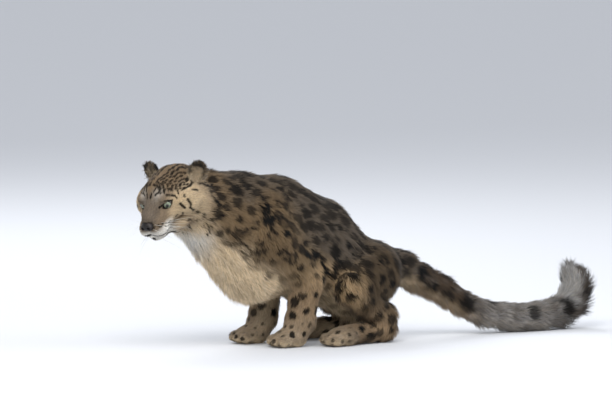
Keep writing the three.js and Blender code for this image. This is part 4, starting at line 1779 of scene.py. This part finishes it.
    def show(self, frame: Frame, found: Survey, normals: Array) -> list[bpy.types.Object]:
        """Make the coat's objects.

        Args:
            frame: Where the animal lies.
            found: Survey of the skin's points.
            normals: Directions out of the skin at its points.

        Returns:
            The objects.
        """
        faces = np.array(
            [
                (0, 2, 1),
                (0, 1, 4), (0, 4, 3),
                (1, 2, 5), (1, 5, 4),
                (2, 0, 3), (2, 3, 5),
                (3, 4, 6), (4, 5, 6), (5, 3, 6),
            ]
        )  # fmt: skip
        points, tones, directions, place = self.grow(found, normals)
        angle = np.arange(7) * math.tau / 7
        patch = np.column_stack([np.cos(angle), np.sin(angle)]) * 0.0015
        material = Finish("coat_fur", 0.78, 0.06, 0.0, 300.0).make()
        order = np.argsort(place[:, 1] + 4 * np.floor(place[:, 0] * 4), kind="stable")
        per_piece = self.piece_limit // len(faces)
        made = []
        for start in range(0, len(order), per_piece):
            mine = order[start : start + per_piece]
            count = len(mine)
            corners = (faces[None] + 7 * np.arange(count)[:, None, None]).reshape(-1, 3)
            name = f"coat_{len(made) + 1:02d}"
            piece = mesh_object(name, frame.metres(points[mine].reshape(-1, 3)), corners, material)
            set_colours(piece.data, tones[mine].reshape(-1, 3))
            spots = (place[mine][:, None] + patch[None]).reshape(-1, 2)
            layer = piece.data.uv_layers.new(name="OFBake")
            layer.data.foreach_set("uv", spots[corners.ravel()].astype(np.float32).ravel())
            piece.data.normals_split_custom_set_from_vertices(directions[mine].reshape(-1, 3).tolist())
            made.append(piece)
        return made


@dataclass(frozen=True)
class Eye:
    """One eye: a ball with a slight bulge of the cornea, coloured by its angle from the pupil.

    Attributes:
        head: The head that it is set in.
        hand: 1 for the left eye, -1 for the right one.
        pupil: Half angle of the pupil, in degrees.
        iris: Half angle of the iris, in degrees.
    """

    head: Head
    hand: int
    pupil: float = 16.0
    iris: float = 45.0
    gaze: Vec = (0.88, 0.46, -0.02)

    def make(self, frame: Frame) -> bpy.types.Object:
        """Build the eye.

        Args:
            frame: Where the animal lies.

        Returns:
            The object.
        """
        rings, around = 40, 40
        angles = np.linspace(0, math.pi, rings)
        axis = unit(np.multiply(self.gaze, (1, self.hand, 1)))
        first = unit(np.cross(axis, (0, 0, 1.0)))
        second = np.cross(axis, first)
        rows, tones = [], []
        turns = np.linspace(0, math.tau, around, endpoint=False)
        radius = self.head.eye_radius - 0.1
        for angle in angles:
            bulge = 0.6 * math.exp(-((math.degrees(angle) / 28) ** 2))
            ring = np.cos(turns)[:, None] * first + np.sin(turns)[:, None] * second
            rows.append((ring * math.sin(angle) + axis * math.cos(angle)) * (radius + bulge))
            tones.append(np.tile(self.tone(math.degrees(angle)), (around, 1)))
        centre = np.multiply(self.head.eye_at, (1, self.hand, 1))
        points = self.head.outward(np.concatenate(rows) + centre)
        faces = []
        for r in range(rings - 1):
            for i in range(around):
                j = (i + 1) % around
                faces.append((r * around + i, (r + 1) * around + i, (r + 1) * around + j, r * around + j))
        name = "eyeball_left" if self.hand > 0 else "eyeball_right"
        made = mesh_object(name, frame.metres(points), np.array(faces), self.material(name))
        cleaned = bmesh.new()
        cleaned.from_mesh(made.data)
        bmesh.ops.remove_doubles(cleaned, verts=cleaned.verts, dist=1e-6)
        bmesh.ops.recalc_face_normals(cleaned, faces=cleaned.faces)
        cleaned.to_mesh(made.data)
        cleaned.free()
        co = np.zeros(len(made.data.vertices) * 3)
        made.data.vertices.foreach_get("co", co)
        local = self.head.inward(co.reshape(-1, 3) / MM - np.array(frame.shift)) - centre
        away = np.degrees(np.arccos(np.clip(unit(local) @ axis, -1, 1)))
        set_colours(made.data, np.stack([self.tone(a) for a in away]))
        return made

    def tone(self, degrees: float) -> Array:
        """Colour at an angle from the middle of the pupil.

        Args:
            degrees: The angle.

        Returns:
            Linear colour.
        """
        iris = linear((0.50, 0.53, 0.45))
        rim = linear((0.25, 0.26, 0.21))
        white = linear((0.20, 0.16, 0.13))
        black = linear((0.02, 0.02, 0.02))
        if degrees < self.pupil:
            return black
        if degrees < self.iris:
            share = (degrees - self.pupil) / (self.iris - self.pupil)
            return iris * (0.75 + 0.35 * share) + (rim - iris) * max(0.0, share - 0.75) * 3
        return black + (white - black) * min(1.0, (degrees - self.iris) / 6)

    def material(self, name: str) -> bpy.types.Material:
        """The wet surface of the eye.

        Args:
            name: Name of the material.

        Returns:
            The material.
        """
        material = Finish(name, 0.08, 0.0, 0.0, 900.0).make()
        surface = material.node_tree.nodes["Principled BSDF"]
        surface.inputs["Specular IOR Level"].default_value = 0.4
        surface.inputs["Coat Weight"].default_value = 0.3
        surface.inputs["Coat Roughness"].default_value = 0.04
        return material


@dataclass(frozen=True)
class Nose:
    """The bare pad of the nose.

    Attributes:
        anatomy: The animal's shape.
        cell: Size of a mesh cell, in mm.
    """

    anatomy: Anatomy
    cell: float = 1.1

    def make(self, frame: Frame) -> bpy.types.Object:
        """Build the pad.

        Args:
            frame: Where the animal lies.

        Returns:
            The object.
        """
        head = self.anatomy.head
        centre = head.outward(np.array([head.nose_at]))[0]
        points, quads = net(self.anatomy.nose, tuple(centre - 30), tuple(centre + 30), self.cell)
        return mesh_object("nose_pad", frame.metres(points), quads, self.material())

    def material(self) -> bpy.types.Material:
        """Dark, slightly moist, pebbled skin.

        Returns:
            The material.
        """
        material = bpy.data.materials.new("nose_leather")
        material.use_nodes = True
        nodes, links = material.node_tree.nodes, material.node_tree.links
        surface = nodes["Principled BSDF"]
        surface.inputs["Roughness"].default_value = 0.42
        surface.inputs["Specular IOR Level"].default_value = 0.3
        place = nodes.new("ShaderNodeTexCoord")
        pebbles = nodes.new("ShaderNodeTexVoronoi")
        pebbles.inputs["Scale"].default_value = 620.0
        links.new(place.outputs["Object"], pebbles.inputs["Vector"])
        cloud = nodes.new("ShaderNodeTexNoise")
        cloud.inputs["Scale"].default_value = 60.0
        links.new(place.outputs["Object"], cloud.inputs["Vector"])
        ramp = nodes.new("ShaderNodeValToRGB")
        ramp.color_ramp.elements[0].position = 0.35
        ramp.color_ramp.elements[0].color = (0.006, 0.005, 0.005, 1)
        ramp.color_ramp.elements[1].position = 0.7
        ramp.color_ramp.elements[1].color = (0.026, 0.018, 0.016, 1)
        links.new(cloud.outputs["Fac"], ramp.inputs["Fac"])
        links.new(ramp.outputs["Color"], surface.inputs["Base Color"])
        bump = nodes.new("ShaderNodeBump")
        bump.inputs["Strength"].default_value = 0.35
        bump.inputs["Distance"].default_value = 0.0006
        links.new(pebbles.outputs["Distance"], bump.inputs["Height"])
        links.new(bump.outputs["Normal"], surface.inputs["Normal"])
        return material


@dataclass(frozen=True)
class Whiskers:
    """The whiskers of both cheeks, as one piece of thin tapered rods.

    Attributes:
        head: The head that they grow on.
        rows: Rows on each cheek.
        each: Whiskers in a row.
        length: Longest length, in mm.
        radius: Radius at the root, in mm.
        seed: Seed of the random draws.
    """

    head: Head
    rows: int = 4
    each: int = 4
    length: float = 78.0
    radius: float = 0.42
    seed: int = 5

    def make(self, frame: Frame) -> bpy.types.Object:
        """Build the whiskers.

        Args:
            frame: Where the animal lies.

        Returns:
            The object.
        """
        rng = np.random.default_rng(self.seed)
        points, faces = [], []
        for hand in (1, -1):
            for row in range(self.rows):
                for n in range(self.each):
                    root = np.array([[112 - n * 7.0, 20 + n * 4.5, -18 - row * 5.5]])
                    root = settle(self.head.flesh, root, 5)[0] - np.array([0, 2.0, 0])
                    way = unit(np.array([0.05 - 0.22 * n, 0.9, -0.12 - 0.16 * row]) + rng.normal(0, 0.07, 3))
                    size = self.length * rng.uniform(0.65, 1.0)
                    line = [root + way * size * t + np.array([-0.1, 0, -0.16]) * size * t * t for t in (0, 0.35, 0.7, 1)]
                    line = self.head.outward(np.array(line) * (1, hand, 1))
                    self.rod(line, points, faces)
        material = Finish("whisker", 0.35, 0.0, 0.0, 50.0).make()
        made = mesh_object("whiskers", frame.metres(np.array(points)), np.array(faces), material)
        set_colours(made.data, np.tile(linear((0.88, 0.87, 0.83)), (len(points), 1)))
        return made

    def rod(self, line: Array, points: list, faces: list) -> None:
        """Add one tapered rod of three sides.

        Args:
            line: Its middle line.
            points: Points so far.
            faces: Faces so far.
        """
        first = len(points)
        along = unit(line[-1] - line[0])
        side = unit(np.cross(along, (0.3, 0.2, 1.0)))
        up = np.cross(along, side)
        for n, at in enumerate(line[:-1]):
            radius = self.radius * (1 - 0.28 * n)
            for turn in range(3):
                angle = turn * math.tau / 3
                points.append(at + (side * math.cos(angle) + up * math.sin(angle)) * radius)
        points.append(line[-1])
        faces.append((first, first + 2, first + 1))
        for n in range(len(line) - 2):
            for turn in range(3):
                a, b = first + 3 * n + turn, first + 3 * n + (turn + 1) % 3
                faces.append((a, b, b + 3))
                faces.append((a, b + 3, a + 3))
        last = len(points) - 1
        for turn in range(3):
            faces.append((last - 3 + turn, last - 3 + (turn + 1) % 3, last))


@dataclass(frozen=True)
class Studio:
    """Floor, lights and camera.

    Attributes:
        ray: The photograph's camera.
        away: Distance of the camera, in metres.
        pixels: Width and height of the photograph.
    """

    ray: Ray = Ray()
    away: float = 40.0
    pixels: tuple[int, int] = (612, 408)

    def make(self, frame: Frame) -> None:
        """Build the studio.

        Args:
            frame: Where the animal lies.
        """
        self.floor()
        self.lights()
        self.camera(frame)

    def floor(self) -> None:
        """A pale plain floor."""
        material = bpy.data.materials.new("studio_floor")
        material.use_nodes = True
        surface = material.node_tree.nodes["Principled BSDF"]
        surface.inputs["Base Color"].default_value = (0.66, 0.67, 0.69, 1)
        surface.inputs["Roughness"].default_value = 0.9
        bpy.ops.mesh.primitive_plane_add(size=60, location=(0, 0, 0))
        floor = bpy.context.object
        floor.name = "floor"
        floor.data.materials.append(material)

    def lights(self) -> None:
        """A pale sky and wide soft lights."""
        bpy.context.scene.view_settings.view_transform = "Standard"
        world = bpy.data.worlds.new("sky")
        bpy.context.scene.world = world
        world.use_nodes = True
        sky = world.node_tree.nodes["Background"]
        sky.inputs["Color"].default_value = (0.86, 0.89, 0.95, 1)
        sky.inputs["Strength"].default_value = 0.85
        for name, at, size, power, tone in (
            ("key", (-2.6, -3.1, 3.7), 3.0, 190, (1.0, 0.98, 0.95)),
            ("fill", (3.0, -3.0, 2.4), 3.5, 95, (0.92, 0.95, 1.0)),
            ("rim", (0.5, 3.6, 3.6), 3.0, 110, (0.95, 0.97, 1.0)),
        ):
            lamp = bpy.data.lights.new(name, "AREA")
            lamp.size = size
            lamp.energy = power
            lamp.color = tone
            made = bpy.data.objects.new(name, lamp)
            made.location = at
            made.rotation_mode = "QUATERNION"
            made.rotation_quaternion = (Vector((0, 0, 0.25)) - Vector(at)).to_track_quat("-Z", "Y")
            bpy.context.scene.collection.objects.link(made)

    def camera(self, frame: Frame) -> None:
        """A long lens at the photograph's angle and framing.

        Args:
            frame: Where the animal lies.
        """
        right, up, back = self.ray.axes()
        target = frame.metres(self.ray.point(self.pixels[0] / 2, self.pixels[1] / 2))
        data = bpy.data.cameras.new("camera")
        data.sensor_width = 36.0
        width = self.pixels[0] * self.ray.scale * MM
        data.lens = 36.0 * self.away / width
        data.clip_start, data.clip_end = 10.0, 300.0
        made = bpy.data.objects.new("camera", data)
        turn = Matrix((tuple(right), tuple(up), tuple(back))).transposed().to_4x4()
        made.matrix_world = Matrix.Translation(Vector(target + back * self.away)) @ turn
        bpy.context.scene.collection.objects.link(made)
        bpy.context.scene.camera = made


def rides(piece: bpy.types.Object) -> None:
    """Let a piece ride on the one body and log its name.

    Args:
        piece: The piece.
    """
    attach(piece, "root")
    LOG.info("made %s", piece.name)


def main() -> None:
    """Build the scene piece by piece."""
    logging.basicConfig(level=logging.INFO, format="%(name)s: %(message)s")
    frame_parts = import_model()
    anatomy = Anatomy()
    frame = Frame.found(anatomy.head)
    LOG.info("frame shift %s", frame.shift)
    Studio().make(frame)
    flesh = [name for name in frame_parts["nodes"] if not name.startswith(("eye_", "nose"))]

    skin = Skin(anatomy)
    skin.make()
    LOG.info("skin has %d triangles", len(skin.triangles))
    found = anatomy.survey(skin.points)
    markings = Markings(anatomy)
    markings.scatter(skin.points, found)
    LOG.info("placed %d spots", len(markings.centres))
    body = skin.show(markings, frame, found)
    rides(body)
    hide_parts(*flesh)

    fur = Fur(skin, markings)
    for piece in fur.show(frame, found, skin.normals()):
        rides(piece)

    for hand, node in ((1, "eye_left"), (-1, "eye_right")):
        eye = Eye(anatomy.head, hand).make(frame)
        rides(eye)
        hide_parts(node)
    nose = Nose(anatomy).make(frame)
    rides(nose)
    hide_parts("nose")
    rides(Whiskers(anatomy.head).make(frame))

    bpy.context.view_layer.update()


if __name__ == "__main__":
    main()
